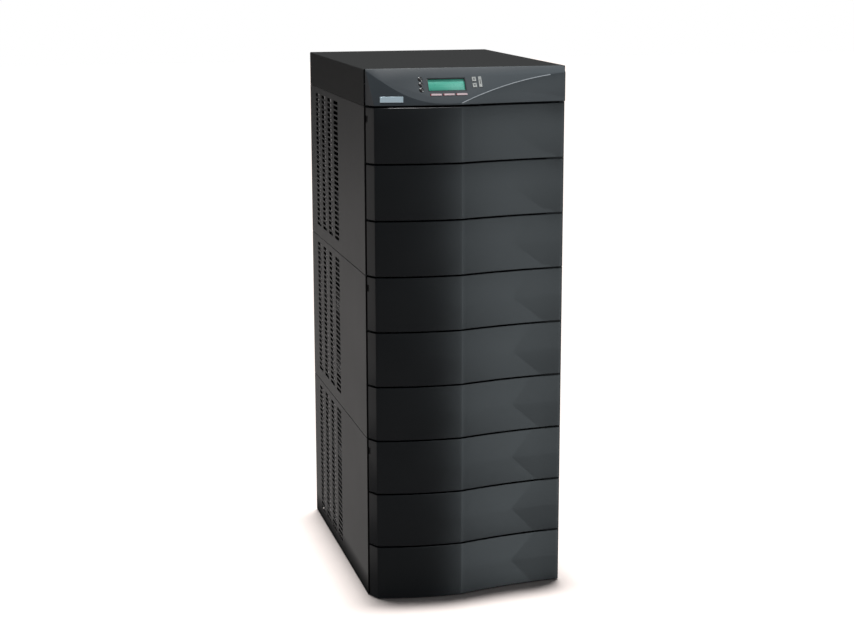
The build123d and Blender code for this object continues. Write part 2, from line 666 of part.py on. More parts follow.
def control_parts():
    """What sits in the bezel: display, board, status lenses, badge and keys."""
    with BuildPart() as display:
        with BuildSketch(panel_spot(DISPLAY_X, DISPLAY_DROP, 2.0)):
            Rectangle(DISPLAY_WIDTH, DISPLAY_HEIGHT)
        extrude(amount=-3.0)
        with BuildSketch(panel_spot(DISPLAY_X, DISPLAY_DROP, 5.0)):
            Rectangle(DISPLAY_WIDTH - 4.0, DISPLAY_HEIGHT - 4.0)
        extrude(amount=-(BOARD_DEPTH - 5.0))
    write(display.part, "display_module")

    with BuildPart() as board:
        with BuildSketch(panel_spot(BOARD_X, BOARD_DROP, BOARD_DEPTH)):
            Rectangle(BOARD_WIDTH, BOARD_HEIGHT)
        extrude(amount=-1.6)
        for x, drop, _, _ in KEYS.values():
            with BuildSketch(panel_spot(x, drop, BOARD_DEPTH)):
                Circle(2.0)
            extrude(amount=SWITCH_HEIGHT)
    write(board.part, "control_board")

    with BuildPart() as lenses:
        for drop in STATUS_DROPS:
            with BuildSketch(panel_spot(STATUS_X, drop, WALL)):
                Circle(STATUS_RADIUS + 1.2)
            extrude(amount=-1.5)
            with BuildSketch(panel_spot(STATUS_X, drop, WALL)):
                Circle(STATUS_RADIUS)
            extrude(amount=WALL + 0.8)
    write(lenses.part, "status_lenses")

    with BuildPart() as badge:
        with BuildSketch(badge_plane().offset(-BADGE_RECESS)):
            RectangleRounded(BADGE_WIDTH, BADGE_HEIGHT, 0.8)
        extrude(amount=BADGE_RECESS + 1.0)
        chamfer(badge.faces().sort_by(Axis((0, 0, 0), BADGE_NORMAL))[-1].edges(), 0.4)
    write(badge.part, "badge_plate")

    for name, (x, drop, width, height) in KEYS.items():
        with BuildPart() as key:
            with BuildSketch(panel_spot(x, drop, KEY_DEPTH)):
                Rectangle(width, height)
            extrude(amount=KEY_DEPTH + KEY_STAND)
            chamfer(key.faces().sort_by(Axis((0, 0, 0), PANEL_PLANE.z_dir))[-1].edges(), 0.5)
            with BuildSketch(panel_spot(x, drop, KEY_DEPTH)):
                Rectangle(width + 2.4, height + 2.4)
            extrude(amount=-1.5)
            with BuildSketch(panel_spot(x, drop, KEY_DEPTH)):
                Circle(1.8)
            extrude(amount=-(BOARD_DEPTH - SWITCH_HEIGHT - KEY_TRAVEL - 0.1 - KEY_DEPTH))
        write(key.part, name)


# ================================================================ electronics
def electronics():
    """Power board, heat sinks and capacitors on the upper deck."""
    deck = section_base(2) + FRAME_SHEET
    y0, y1 = Y_FRONT + 110.0, Y_REAR - 120.0
    with BuildPart() as board:
        block(-100.0, 100.0, y0, y1, deck + 12.0, deck + 14.0)
        with Locations((0, (y0 + y1) / 2, deck + 6.0)):
            with GridLocations(180.0, (y1 - y0) / 2 - 10.0, 2, 3):
                Cylinder(4.0, 12.0)
        for n in range(5):
            block(-92.0, -62.0, y0 + 40.0 + n * 85.0, y0 + 90.0 + n * 85.0, deck + 14.0, deck + 54.0)
    write(board.part, "power_board")

    with BuildPart() as capacitors:
        with Locations((20.0, (y0 + y1) / 2, deck + 14.0 + 40.0)):
            with GridLocations(56.0, 56.0, 2, 7):
                Cylinder(22.0, 80.0)
        fillet(capacitors.edges().filter_by(GeomType.CIRCLE).group_by(Axis.Z)[-1], 2.0)
    write(capacitors.part, "capacitor_bank")

    with BuildPart() as sinks:
        for side in (-1, 1):
            block(side * 112.0, side * 200.0, y0, y1, deck, deck + 8.0)
            for fin in range(8):
                x = 112.0 + fin * (88.0 - 3.0) / 7
                block(side * x, side * (x + 3.0), y0, y1, deck + 8.0, deck + 120.0)
    write(sinks.part, "heat_sinks")


def fans():
    """Two fan housings behind the rear panel and their rotors."""
    y1 = Y_REAR - SHEET
    with BuildPart() as frames:
        for fan_x in FAN_XS:
            block(
                fan_x - FAN_SIZE / 2, fan_x + FAN_SIZE / 2, y1 - FAN_THICKNESS, y1,
                FAN_Z - FAN_SIZE / 2, FAN_Z + FAN_SIZE / 2,
            )
        drill_rear([(x, FAN_Z) for x in FAN_XS], FAN_BORE, y1 - FAN_THICKNESS - 1.0, y1 + 1.0)
        for fan_x in FAN_XS:
            with BuildSketch(fan_plane(fan_x, y1 - FAN_THICKNESS)):
                Circle(HUB_RADIUS)
                Rectangle(2 * FAN_BORE + 2.0, 5.0)
                Rectangle(5.0, 2 * FAN_BORE + 2.0)
                Circle(SHAFT_RADIUS + BEARING, mode=Mode.SUBTRACT)
            extrude(amount=-3.0)
    write(frames.part, "fan_frames")

    for name, fan_x in zip(("left_fan_rotor", "right_fan_rotor"), FAN_XS):
        hub_front = y1 - FAN_THICKNESS + 4.0
        with BuildPart() as rotor:
            with BuildSketch(fan_plane(fan_x, hub_front)):
                Circle(HUB_RADIUS)
            extrude(amount=-18.0)
            with BuildSketch(fan_plane(fan_x, hub_front)):
                Circle(SHAFT_RADIUS)
            extrude(amount=3.5)
            for n in range(7):
                turn = 2 * math.pi * n / 7
                disc = Plane(
                    origin=(fan_x, hub_front + 9.0, FAN_Z),
                    x_dir=(math.cos(turn), 0, math.sin(turn)),
                    z_dir=(0, -1, 0),
                )
                blade = Plane(disc.location * Location((0, 0, 0), (35.0, 0, 0)))
                with BuildSketch(blade.offset(-0.8)):
                    with Locations(((HUB_RADIUS - 4.0 + ROTOR_RADIUS) / 2, 0)):
                        Rectangle(ROTOR_RADIUS - HUB_RADIUS + 4.0, 20.0)
                extrude(amount=1.6)
        write(rotor.part, name)


def breaker():
    """The battery breaker, its nose through the rear panel, and its lever."""
    face_y = Y_REAR - SHEET
    half_nose = BREAKER_NOSE_HEIGHT / 2
    x0, x1 = BREAKER_X - BREAKER_WIDTH / 2, BREAKER_X + BREAKER_WIDTH / 2
    slot = 20.0
    with BuildPart() as case:
        block(
            x0, x1, Y_REAR - BREAKER_DEPTH, face_y,
            BREAKER_Z - BREAKER_HEIGHT / 2, BREAKER_Z + BREAKER_HEIGHT / 2,
        )
        block(x0, x1, face_y, Y_REAR, BREAKER_Z - half_nose, BREAKER_Z + half_nose)
        block(
            BREAKER_X - 9.0, BREAKER_X + 9.0, Y_REAR - 24.0, Y_REAR + 1.0,
            BREAKER_Z - slot, BREAKER_Z + slot, mode=Mode.SUBTRACT,
        )
        with BuildSketch(Plane.YZ.offset(BREAKER_X - 14.0)):
            with Locations((LEVER_PIVOT_Y, BREAKER_Z)):
                Circle(2.5)
        extrude(amount=28.0, mode=Mode.SUBTRACT)
    write(case.part, "breaker_case")

    with BuildPart() as lever:
        with BuildSketch(Plane.YZ.offset(BREAKER_X - 8.5)):
            with Locations((LEVER_PIVOT_Y, BREAKER_Z)):
                Circle(7.0)
        extrude(amount=17.0)
        with BuildSketch(Plane.YZ.offset(BREAKER_X - 13.5)):
            with Locations((LEVER_PIVOT_Y, BREAKER_Z)):
                Circle(2.5 - BEARING)
        extrude(amount=27.0)
        with BuildSketch(Plane.YZ.offset(BREAKER_X - 8.5)):
            with BuildLine():
                Polyline(
                    (LEVER_PIVOT_Y, BREAKER_Z),
                    (LEVER_PIVOT_Y - 1.0, BREAKER_Z + 6.0),
                    (LEVER_PIVOT_Y + 18.0, BREAKER_Z + 14.5),
                    (LEVER_PIVOT_Y + 21.0, BREAKER_Z + 11.0),
                    (LEVER_PIVOT_Y + 5.0, BREAKER_Z - 3.0),
                    close=True,
                )
            make_face()
        extrude(amount=17.0)
    write(lever.part, "breaker_lever")


def levelling_foot(name, x, y):
    """A rubber-faced pad on a threaded stud, turned to level the cabinet."""
    with BuildPart() as foot:
        with BuildSketch():
            with Locations((x, y)):
                Circle(PAD_RADIUS)
        extrude(amount=PAD_HEIGHT)
        chamfer(foot.edges().group_by(Axis.Z)[-1], 2.0)
        with BuildSketch(Plane.XY.offset(PAD_HEIGHT)):
            with Locations((x, y)):
                RegularPolygon(9.0, 6)
        extrude(amount=6.0)
        with BuildSketch(Plane.XY.offset(PAD_HEIGHT + 6.0)):
            with Locations((x, y)):
                Circle(STUD_RADIUS)
        extrude(amount=BASE_DECK_Z + 6.0 - PAD_HEIGHT - 6.0)
    write(foot.part, name)


def main():
    os.makedirs("parts", exist_ok=True)
    for index in range(3):
        section_frame(index)
        side_panel(index, "left")
        side_panel(index, "right")
        rear_panel(index)
        cover_frame(index)
        cover_latch(index)
        for number in range(1, BANDS_PER_SECTION + 1):
            fascia_band(index, number)
        if index < 2:
            for number in (1, 2):
                battery_tray(index, number)
                battery_string(index, number)
    panel_screws(top_cover())
    control_bezel()
    control_parts()
    electronics()
    fans()
    breaker()
    names = ("front_left_foot", "rear_left_foot", "front_right_foot", "rear_right_foot")
    for name, (x, y) in zip(names, foot_places()):
        levelling_foot(name, x, y)
    print("overall", CABINET_WIDTH, round(OVERALL_DEPTH, 2), round(CABINET_HEIGHT, 2))
    print("front edge y", round(Y_FRONT, 3), "nose", round(NOSE, 3))


main()
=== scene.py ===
"""Looks of a tower battery cabinet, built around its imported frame."""

from __future__ import annotations

import json
import logging
import math
from collections.abc import Callable, Iterator, Sequence
from contextlib import contextmanager
from dataclasses import dataclass, field
from enum import Enum
from functools import cache

import bmesh
import bpy
from mathutils import Matrix, Vector

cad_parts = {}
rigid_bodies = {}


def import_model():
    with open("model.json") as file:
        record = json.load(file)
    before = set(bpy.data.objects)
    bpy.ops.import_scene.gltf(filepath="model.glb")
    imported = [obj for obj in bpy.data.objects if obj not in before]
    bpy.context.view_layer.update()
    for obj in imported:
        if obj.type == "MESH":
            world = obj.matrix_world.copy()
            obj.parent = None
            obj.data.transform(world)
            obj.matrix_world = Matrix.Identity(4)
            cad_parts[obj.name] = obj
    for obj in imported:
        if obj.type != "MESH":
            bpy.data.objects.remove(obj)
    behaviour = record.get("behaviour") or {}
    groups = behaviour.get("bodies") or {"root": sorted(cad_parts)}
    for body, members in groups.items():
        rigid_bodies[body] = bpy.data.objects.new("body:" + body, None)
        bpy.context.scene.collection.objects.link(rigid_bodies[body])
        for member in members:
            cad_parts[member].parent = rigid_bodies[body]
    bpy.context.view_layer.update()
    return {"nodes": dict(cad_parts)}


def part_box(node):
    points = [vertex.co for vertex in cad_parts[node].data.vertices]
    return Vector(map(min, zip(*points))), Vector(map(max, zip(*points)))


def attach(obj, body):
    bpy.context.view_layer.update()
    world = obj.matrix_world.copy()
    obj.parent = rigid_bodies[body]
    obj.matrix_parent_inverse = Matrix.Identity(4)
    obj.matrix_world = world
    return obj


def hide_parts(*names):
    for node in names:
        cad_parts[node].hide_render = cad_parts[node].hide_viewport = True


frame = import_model()

LOG = logging.getLogger("cabinet")
MM = 0.001
NUDGE = 1e-5
Point = tuple[float, float, float]
Colour = tuple[float, float, float]
Piece = bpy.types.Object
Line = list[tuple[float, float]]
LEVEL: Point = (0.0, 0.0, 0.0)
UP: Point = (0.0, 0.0, 1.0)
DUST: Colour = (0.42, 0.40, 0.37)
COOL: Colour = (0.84, 0.95, 1.0)
WARM: Colour = (1.0, 0.955, 0.93)
# The colour of the painted shade on the front edges.
PITCH_BLACK: Colour = (0.001, 0.001, 0.001)
NO_RIM = -9.0
FRONT_EDGE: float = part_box("upper_left_panel")[0][1]
# Forward of this Y the side panels and the cap carry painted shade, black as the gap beside the
# front covers.
RIM_Y = FRONT_EDGE + 1.2 * MM
SECTIONS = ("lower", "middle", "upper")
HALF_WIDTH = 0.242
STOCK_DEPTH = 0.001


# ------------------------------------------------------------------ modelling bench
class Bench:
    """The operators that every new piece is modelled with."""

    @staticmethod
    def clear() -> None:
        """Leaves nothing selected and nothing active."""
        for other in bpy.context.view_layer.objects:
            other.select_set(False)
        bpy.context.view_layer.objects.active = None

    @staticmethod
    def hold(piece: Piece) -> None:
        """Makes a piece the only one selected, and the active one."""
        Bench.clear()
        piece.select_set(True)
        bpy.context.view_layer.objects.active = piece

    @staticmethod
    def settle(piece: Piece) -> Piece:
        """Moves a piece's place, turn and size into its mesh.

        Args:
            piece: The piece.

        Returns:
            The same piece, with its object at the origin.
        """
        Bench.hold(piece)
        bpy.ops.object.transform_apply(location=True, rotation=True, scale=True)
        return piece

    @staticmethod
    def named(name: str) -> Piece:
        """Names and settles the primitive that was just added.

        Args:
            name: Its name.

        Returns:
            The new piece.
        """
        piece = bpy.context.active_object
        piece.name = piece.data.name = name
        return Bench.settle(piece)

    @staticmethod
    def slab(name: str, centre: Point, size: Point, turn: Point = LEVEL) -> Piece:
        """Adds a box of a given size, turned about its middle.

        Args:
            name: The piece's name.
            centre: Where its middle goes.
            size: Its width, height and thickness before it is turned.
            turn: Its XYZ turn, in radians.

        Returns:
            The new piece.
        """
        Bench.clear()
        bpy.ops.mesh.primitive_cube_add(size=1.0, location=centre, rotation=turn, scale=size)
        return Bench.named(name)

    @staticmethod
    def box(name: str, low: Point, high: Point) -> Piece:
        """Adds a box between its lowest and its highest corner.

        Args:
            name: The piece's name.
            low: Its lowest corner.
            high: Its highest corner.

        Returns:
            The new piece.
        """
        middle = [(a + b) / 2 for a, b in zip(low, high)]
        return Bench.slab(name, middle, [b - a for a, b in zip(low, high)])

    @staticmethod
    def rod(
        name: str, centre: Point, radius: float, length: float, turn: Point = LEVEL, sides: int = 32
    ) -> Piece:
        """Adds a cylinder or a regular prism.

        Args:
            name: The piece's name.
            centre: Where its middle goes.
            radius: Its radius.
            length: Its length along its axis.
            turn: Its XYZ turn, in radians.
            sides: How many sides it has.

        Returns:
            The new piece.
        """
        Bench.clear()
        bpy.ops.mesh.primitive_cylinder_add(
            vertices=sides, radius=radius, depth=length, location=centre, rotation=turn
        )
        return Bench.named(name)

    @staticmethod
    def ring(name: str, centre: Point, radii: tuple[float, float], turn: Point) -> Piece:
        """Adds a ring of round wire.

        Args:
            name: The piece's name.
            centre: Where its middle goes.
            radii: The ring's radius to the middle of the wire, and the wire's.
            turn: Its XYZ turn, in radians.

        Returns:
            The new piece.
        """
        Bench.clear()
        bpy.ops.mesh.primitive_torus_add(
            major_radius=radii[0],
            minor_radius=radii[1],
            major_segments=40,
            minor_segments=8,
            location=centre,
            rotation=turn,
        )
        return Bench.named(name)

    @staticmethod
    @contextmanager
    def editing(piece: Piece, mode: str = "VERT") -> Iterator[None]:
        """Opens a piece in edit mode with nothing selected, and closes it again.

        Args:
            piece: The piece to edit.
            mode: VERT, EDGE or FACE.

        Returns:
            A context in which the piece is in edit mode.
        """
        Bench.hold(piece)
        bpy.ops.object.mode_set(mode="EDIT")
        bpy.ops.mesh.select_mode(type=mode)
        bpy.ops.mesh.select_all(action="DESELECT")
        yield
        bpy.ops.object.mode_set(mode="OBJECT")

    @staticmethod
    def pick(piece: Piece, kind: str, wanted: Callable[..., bool]) -> None:
        """Selects only the points, edges or faces of a piece in edit mode that pass a test.

        Args:
            piece: The piece.
            kind: verts, edges or faces.
            wanted: The test of one of them.
        """
        mesh = bmesh.from_edit_mesh(piece.data)
        mesh.normal_update()
        parts = getattr(mesh, kind)
        chosen = [part for part in parts if wanted(part)]
        for part in parts:
            part.select_set(False)
        for part in chosen:
            part.select_set(True)
        if kind == "verts":
            mesh.select_flush_mode()
        bmesh.update_edit_mesh(piece.data)

    @staticmethod
    def pick_points(piece: Piece, wanted: Callable[[Vector], bool]) -> None:
        """Selects only the points whose place passes a test."""
        Bench.pick(piece, "verts", lambda point: wanted(point.co))

    @staticmethod
    def pick_edges(piece: Piece, wanted: Callable[[Vector, Vector], bool]) -> None:
        """Selects only the edges whose two ends pass a test."""
        Bench.pick(piece, "edges", lambda edge: wanted(edge.verts[0].co, edge.verts[1].co))

    @staticmethod
    def pick_faces(piece: Piece, wanted: Callable[[Vector, Vector], bool]) -> None:
        """Selects only the faces whose middle and normal pass a test."""
        Bench.pick(piece, "faces", lambda face: wanted(face.calc_center_median(), face.normal))

    @staticmethod
    def step_in(normal: Point, *steps: tuple[float, float]) -> None:
        """Insets the selected faces and moves them, once for each step.

        Args:
            normal: The way that they are moved.
            steps: How far they are inset, and how far they are then moved.
        """
        for inset, lift in steps:
            bpy.ops.mesh.inset(thickness=inset)
            bpy.ops.transform.translate(value=tuple(lift * part for part in normal))

    @staticmethod
    def slice(point: Point, normal: Point, cap: bool = False) -> None:
        """Cuts the piece in hand with a plane.

        Args:
            point: A point on the plane.
            normal: The plane's normal.
            cap: Whether what is beyond the plane is dropped and the cut is closed.
        """
        bpy.ops.mesh.select_all(action="SELECT")
        bpy.ops.mesh.bisect(
            plane_co=point, plane_no=normal, use_fill=cap, clear_outer=cap, threshold=1e-6
        )

    @staticmethod
    def round_over(width: float, steps: int = 3) -> None:
        """Bevels the selected edges."""
        bpy.ops.mesh.bevel(offset=width, segments=steps, profile=0.5, affect="EDGES")

    @staticmethod
    def ease(
        piece: Piece, width: float, steps: int = 2, angle: float = 35.0
    ) -> Piece:
        """Rounds every sharp edge of a piece with an applied bevel.

        Args:
            piece: The piece.
            width: The bevel's width.
            steps: How many faces the bevel has.
            angle: Edges sharper than this, in degrees, are rounded.

        Returns:
            The same piece.
        """
        Bench.hold(piece)
        bevel = piece.modifiers.new("ease", "BEVEL")
        bevel.width = width
        bevel.segments = steps
        bevel.limit_method = "ANGLE"
        bevel.angle_limit = math.radians(angle)
        bpy.ops.object.modifier_apply(modifier=bevel.name)
        return piece

    @staticmethod
    def carve(piece: Piece, cutter: Piece) -> None:
        """Takes a cutter's volume out of a piece, and throws the cutter away.

        Args:
            piece: The piece.
            cutter: The cutter.
        """
        Bench.hold(piece)
        cut = piece.modifiers.new("carve", "BOOLEAN")
        cut.operation = "DIFFERENCE"
        cut.solver = "EXACT"
        cut.object = cutter
        bpy.ops.object.modifier_apply(modifier=cut.name)
        bpy.data.objects.remove(cutter)

    @staticmethod
    def smooth(piece: Piece, angle: float = 30.0) -> Piece:
        """Shades a piece smooth, except across sharp edges.

        Args:
            piece: The piece.
            angle: Edges sharper than this, in degrees, stay sharp.

        Returns:
            The same piece.
        """
        Bench.hold(piece)
        bpy.ops.object.shade_smooth_by_angle(angle=math.radians(angle))
        return piece

    @staticmethod
    def copy(piece: Piece, name: str, offset: Point) -> Piece:
        """Copies a piece with its own mesh.

        Args:
            piece: The piece to copy.
            name: The copy's name.
            offset: How far the copy stands from the first.

        Returns:
            The copy.
        """
        twin = piece.copy()
        twin.data = piece.data.copy()
        twin.name = twin.data.name = name
        bpy.context.collection.objects.link(twin)
        twin.location = offset
        return Bench.settle(twin)

    @staticmethod
    def join(name: str, pieces: Sequence[Piece]) -> Piece:
        """Joins pieces into one.

        Args:
            name: The joined piece's name.
            pieces: What to join. The first gives the order of the finishes.

        Returns:
            The joined piece.
        """
        Bench.clear()
        for piece in pieces:
            piece.select_set(True)
        bpy.context.view_layer.objects.active = pieces[0]
        bpy.ops.object.join()
        pieces[0].name = pieces[0].data.name = name
        return pieces[0]


# ------------------------------------------------------------------ finishes
class Wire:
    """A shader socket that takes part in Python arithmetic."""

    def __init__(self, tree: Tree, socket: bpy.types.NodeSocket) -> None:
        """Keeps the tree and the output socket."""
        self.tree = tree
        self.socket = socket

    def maths(self, operation: str, *others: Wire | float, clamp: bool = False) -> Wire:
        """Adds a Math node that starts from this socket.

        Args:
            operation: The Math node's operation.
            others: Its other inputs.
            clamp: Whether the result is held between 0 and 1.

        Returns:
            The node's output.
        """
        settings = {"operation": operation, "use_clamp": clamp}
        return self.tree.node("ShaderNodeMath", settings, dict(enumerate((self, *others))))

    def __add__(self, other: Wire | float) -> Wire:
        """This plus other."""
        return self.maths("ADD", other)

    __radd__ = __add__

    def __mul__(self, other: Wire | float) -> Wire:
        """This times other."""
        return self.maths("MULTIPLY", other)

    __rmul__ = __mul__

    def __sub__(self, other: Wire | float) -> Wire:
        """This minus other."""
        return self.maths("SUBTRACT", other)

    def __rsub__(self, other: float) -> Wire:
        """Other minus this."""
        return (self * -1.0) + other

    def __mod__(self, other: float) -> Wire:
        """What is left of this after whole steps of other, never negative."""
        return self.maths("FLOORED_MODULO", other)

    def above(self, edge: float) -> Wire:
        """1 where this is above edge, and 0 elsewhere."""
        return self.maths("GREATER_THAN", edge)

    def below(self, edge: float) -> Wire:
        """1 where this is below edge, and 0 elsewhere."""
        return self.maths("LESS_THAN", edge)

    def ramp(self, low: float, high: float) -> Wire:
        """Goes from 0 to 1 as this goes from low to high."""
        return ((self - low) * (1.0 / (high - low))).maths("ADD", 0.0, clamp=True)


class Tree:
    """One material's shader tree while it is being written."""

    def __init__(self, name: str) -> None:
        """Starts a material with a Principled shader.

        Args:
            name: The material's name.
        """
        self.material = bpy.data.materials.new(name)
        self.material.use_nodes = True
        self.nodes = self.material.node_tree.nodes
        self.links = self.material.node_tree.links
        self.nodes.clear()
        self.shader = self.nodes.new("ShaderNodeBsdfPrincipled")
        output = self.nodes.new("ShaderNodeOutputMaterial")
        self.links.new(self.shader.outputs["BSDF"], output.inputs["Surface"])
        self.place = self.node("ShaderNodeTexCoord", {}, {}, "Object")

    def node(
        self,
        kind: str,
        settings: dict[str, object],
        inputs: dict[str | int, Wire | float | Sequence[float]],
        output: str | int = 0,
    ) -> Wire:
        """Adds any node.

        Args:
            kind: The node's type.
            settings: Its properties, which are set first.
            inputs: Values or links for its sockets, by name or number.
            output: Which output to use.

        Returns:
            That output.
        """
        node = self.nodes.new(kind)
        for key, value in settings.items():
            setattr(node, key, value)
        for key, value in inputs.items():
            if isinstance(value, Wire):
                self.links.new(value.socket, node.inputs[key])
            else:
                node.inputs[key].default_value = value
        return Wire(self, node.outputs[output])

    def axis(self, letter: str) -> Wire:
        """One of the Object coordinates, X, Y or Z, in metres."""
        return self.node("ShaderNodeSeparateXYZ", {}, {"Vector": self.place}, letter)

    def noise(self, scale: float, detail: float = 2.0, stretch: Point = (1, 1, 1)) -> Wire:
        """Cloudy noise from 0 to 1.

        Args:
            scale: Patches per metre.
            detail: How much finer noise is laid over it.
            stretch: The factors by which the place is multiplied first.

        Returns:
            The noise.
        """
        place = self.node(
            "ShaderNodeVectorMath", {"operation": "MULTIPLY"}, {0: self.place, 1: stretch}
        )
        return self.node(
            "ShaderNodeTexNoise", {}, {"Vector": place, "Scale": scale, "Detail": detail}
        )

    def cells(self, scale: float, feature: str = "F1", output: str = "Distance") -> Wire:
        """Voronoi cells.

        Args:
            scale: Cells per metre.
            feature: The Voronoi feature.
            output: Its output.

        Returns:
            The output.
        """
        inputs = {"Vector": self.place, "Scale": scale}
        return self.node("ShaderNodeTexVoronoi", {"feature": feature}, inputs, output)

    def blend(self, share: Wire, first: Wire | Colour, second: Wire | Colour) -> Wire:
        """Mixes two colours.

        Args:
            share: How much of the second shows.
            first: The first colour.
            second: The second colour.

        Returns:
            The mixed colour.
        """
        ends = [c if isinstance(c, Wire) else (*c, 1.0) for c in (first, second)]
        inputs = {0: share, 6: ends[0], 7: ends[1]}
        return self.node("ShaderNodeMix", {"data_type": "RGBA"}, inputs, 2)

    def feed(self, socket: str, value: Wire | float | Sequence[float]) -> None:
        """Gives one of the Principled shader's sockets a link or a value.

        Args:
            socket: The socket's name.
            value: What it gets.
        """
        if isinstance(value, Wire):
            self.links.new(value.socket, self.shader.inputs[socket])
        else:
            self.shader.inputs[socket].default_value = value

    def bump(self, height: Wire, strength: float, distance: float) -> None:
        """Feeds a bump made from height into the shader's normal."""
        inputs = {"Height": height, "Strength": strength, "Distance": distance}
        self.feed("Normal", self.node("ShaderNodeBump", {}, inputs))


def shade(colour: Colour, factor: float) -> Colour:
    """A colour times a factor."""
    return tuple(min(1.0, part * factor) for part in colour)


@dataclass(frozen=True)
class Coating:
    """A painted, moulded or rubbery surface: mottled tone, fine grain and a little dust.

    Attributes:
        name: The material's name.
        colour: Its middle tone.
        roughness: Its middle roughness.
        mottle: How far the tone strays, as a share of it.
        patch: Mottling patches per metre.
        grain: The strength of the grain's bump.
        grain_size: Grains per metre.
        dust: How much pale dust lies on what faces up.
        sheen: The clear coat's weight.
        specular: The shader's specular level.
        painted_top_shade: Painted shade on what faces straight up: its tone, as a share of the
            rest's.
        painted_foot_shade: Whether painted shade darkens the lowest few centimetres towards the
            floor.
        rim: Surfaces further forward than this Y are black: painted shade, as the gap beside the
            front covers looks.
    """

    name: str
    colour: Colour
    roughness: float
    mottle: float = 0.10
    patch: float = 14.0
    grain: float = 0.12
    grain_size: float = 1400.0
    dust: float = 0.04
    sheen: float = 0.0
    specular: float = 0.5
    painted_top_shade: float = 1.0
    painted_foot_shade: bool = False
    rim: float = NO_RIM

    def material(self) -> bpy.types.Material:
        """Writes the shader tree.

        Returns:
            The finished material.
        """
        tree = Tree(self.name)
        clouds = tree.noise(self.patch, 4.0)
        grain = tree.noise(self.grain_size, 3.0)
        low, high = shade(self.colour, 1 - self.mottle), shade(self.colour, 1 + self.mottle)
        tone = tree.blend(clouds.ramp(0.3, 0.7), low, high)
        tone = tree.blend(grain.ramp(0.35, 0.75) * 0.18, tone, shade(self.colour, 1.6))
        facing = tree.node("ShaderNodeNewGeometry", {}, {}, "Normal")
        upward = tree.node("ShaderNodeSeparateXYZ", {}, {"Vector": facing}, "Z")
        dust = upward.ramp(0.55, 1.0) * tree.noise(self.patch * 2.2, 5.0).ramp(0.4, 0.8)
        base = tree.blend(dust * self.dust, tone, DUST)
        foot_shade = None
        # painted shade: what faces straight up is darkened
        if self.painted_top_shade < 1.0:
            level = shade(self.colour, self.painted_top_shade)
            base = tree.blend(upward.above(0.97), base, level)
        # painted shade: darker towards the floor, where the roughness also rises
        if self.painted_foot_shade:
            height = tree.axis("Z") + clouds * 0.012
            foot_shade = 1.0 - height.ramp(0.014, 0.06)
            base = tree.blend(foot_shade, base, shade(self.colour, 0.12))
        # painted shade: black at the front edge
        if self.rim > NO_RIM:
            base = tree.blend(tree.axis("Y").below(self.rim), base, PITCH_BLACK)
        tree.feed("Base Color", base)
        rough = clouds * 0.08 + grain * 0.06 + (self.roughness - 0.07)
        tree.feed("Roughness", rough + foot_shade * 0.45 if foot_shade else rough)
        tree.feed("Specular IOR Level", self.specular)
        tree.feed("Coat Weight", self.sheen)
        tree.feed("Coat Roughness", 0.12)
        tree.bump(grain, self.grain, 0.0004)
        return tree.material


@dataclass(frozen=True)
class Zinc:
    """Zinc-plated sheet with faint spangles, which carries dark painted shade at the sides beside
    pale ribs and at the front.

    Attributes:
        name: The material's name.
        colour: The zinc's middle tone.
        side: The distance from the middle beyond which the sheet carries painted shade, save on the
            pale ribs.
        ribs: The first and last Y of the pale ribs behind the side vents.
        front: The Y in front of which the sheet carries painted shade, dark as the gaps behind the
            covers look.
        inner: The colour of the painted shade.
    """

    name: str = "zinc_sheet"
    colour: Colour = (0.42, 0.43, 0.44)
    side: float = 0.2336
    ribs: tuple[float, float] = (0.100, 0.306)
    front: float = FRONT_EDGE + 0.030
    inner: Colour = (0.004, 0.004, 0.004)

    def material(self) -> bpy.types.Material:
        """Writes the shader tree.

        Returns:
            The finished material.
        """
        tree = Tree(self.name)
        spangle = tree.cells(90.0, "F1", "Color")
        tone = tree.node("ShaderNodeSeparateColor", {}, {0: spangle}, 0)
        streak = tree.noise(30.0, 3.0, (1.0, 0.06, 1.0))
        share = tone * 0.6 + streak * 0.4
        base = tree.blend(share, shade(self.colour, 0.75), shade(self.colour, 1.2))
        side = tree.axis("X").maths("ABSOLUTE").above(self.side)
        depth = tree.axis("Y")
        rib = depth.above(self.ribs[0]) * depth.below(self.ribs[1])
        # painted shade: at the sides the sheet is dark except on the pale ribs, and at the front it
        # is dark too; neither is metallic
        sheet = tree.blend(rib, self.inner, shade(self.colour, 0.9))
        painted = side.maths("MAXIMUM", depth.below(self.front))
        tree.feed("Base Color", tree.blend(painted, base, sheet))
        tree.feed("Metallic", 1.0 - painted)
        tree.feed("Roughness", tone * 0.14 + streak * 0.1 + 0.3)
        tree.bump(streak, 0.08, 0.0003)
        return tree.material


@dataclass(frozen=True)
class Brushed:
    """Brushed metal, with its scratches along one axis."""

    name: str
    colour: Colour
    along: Point = (0.02, 1.0, 1.0)
    roughness: float = 0.32
    metallic: float = 1.0

    def material(self) -> bpy.types.Material:
        """Writes the shader tree.

        Returns:
            The finished material.
        """
        tree = Tree(self.name)
        lines = tree.noise(1800.0, 4.0, self.along)
        clouds = tree.noise(24.0, 3.0)
        share = lines * 0.7 + clouds * 0.3
        base = tree.blend(share, shade(self.colour, 0.8), shade(self.colour, 1.15))
        tree.feed("Base Color", base)
        tree.feed("Metallic", self.metallic)
        tree.feed("Roughness", lines * 0.16 + (self.roughness - 0.06))
        tree.bump(lines, 0.1, 0.0002)
        return tree.material


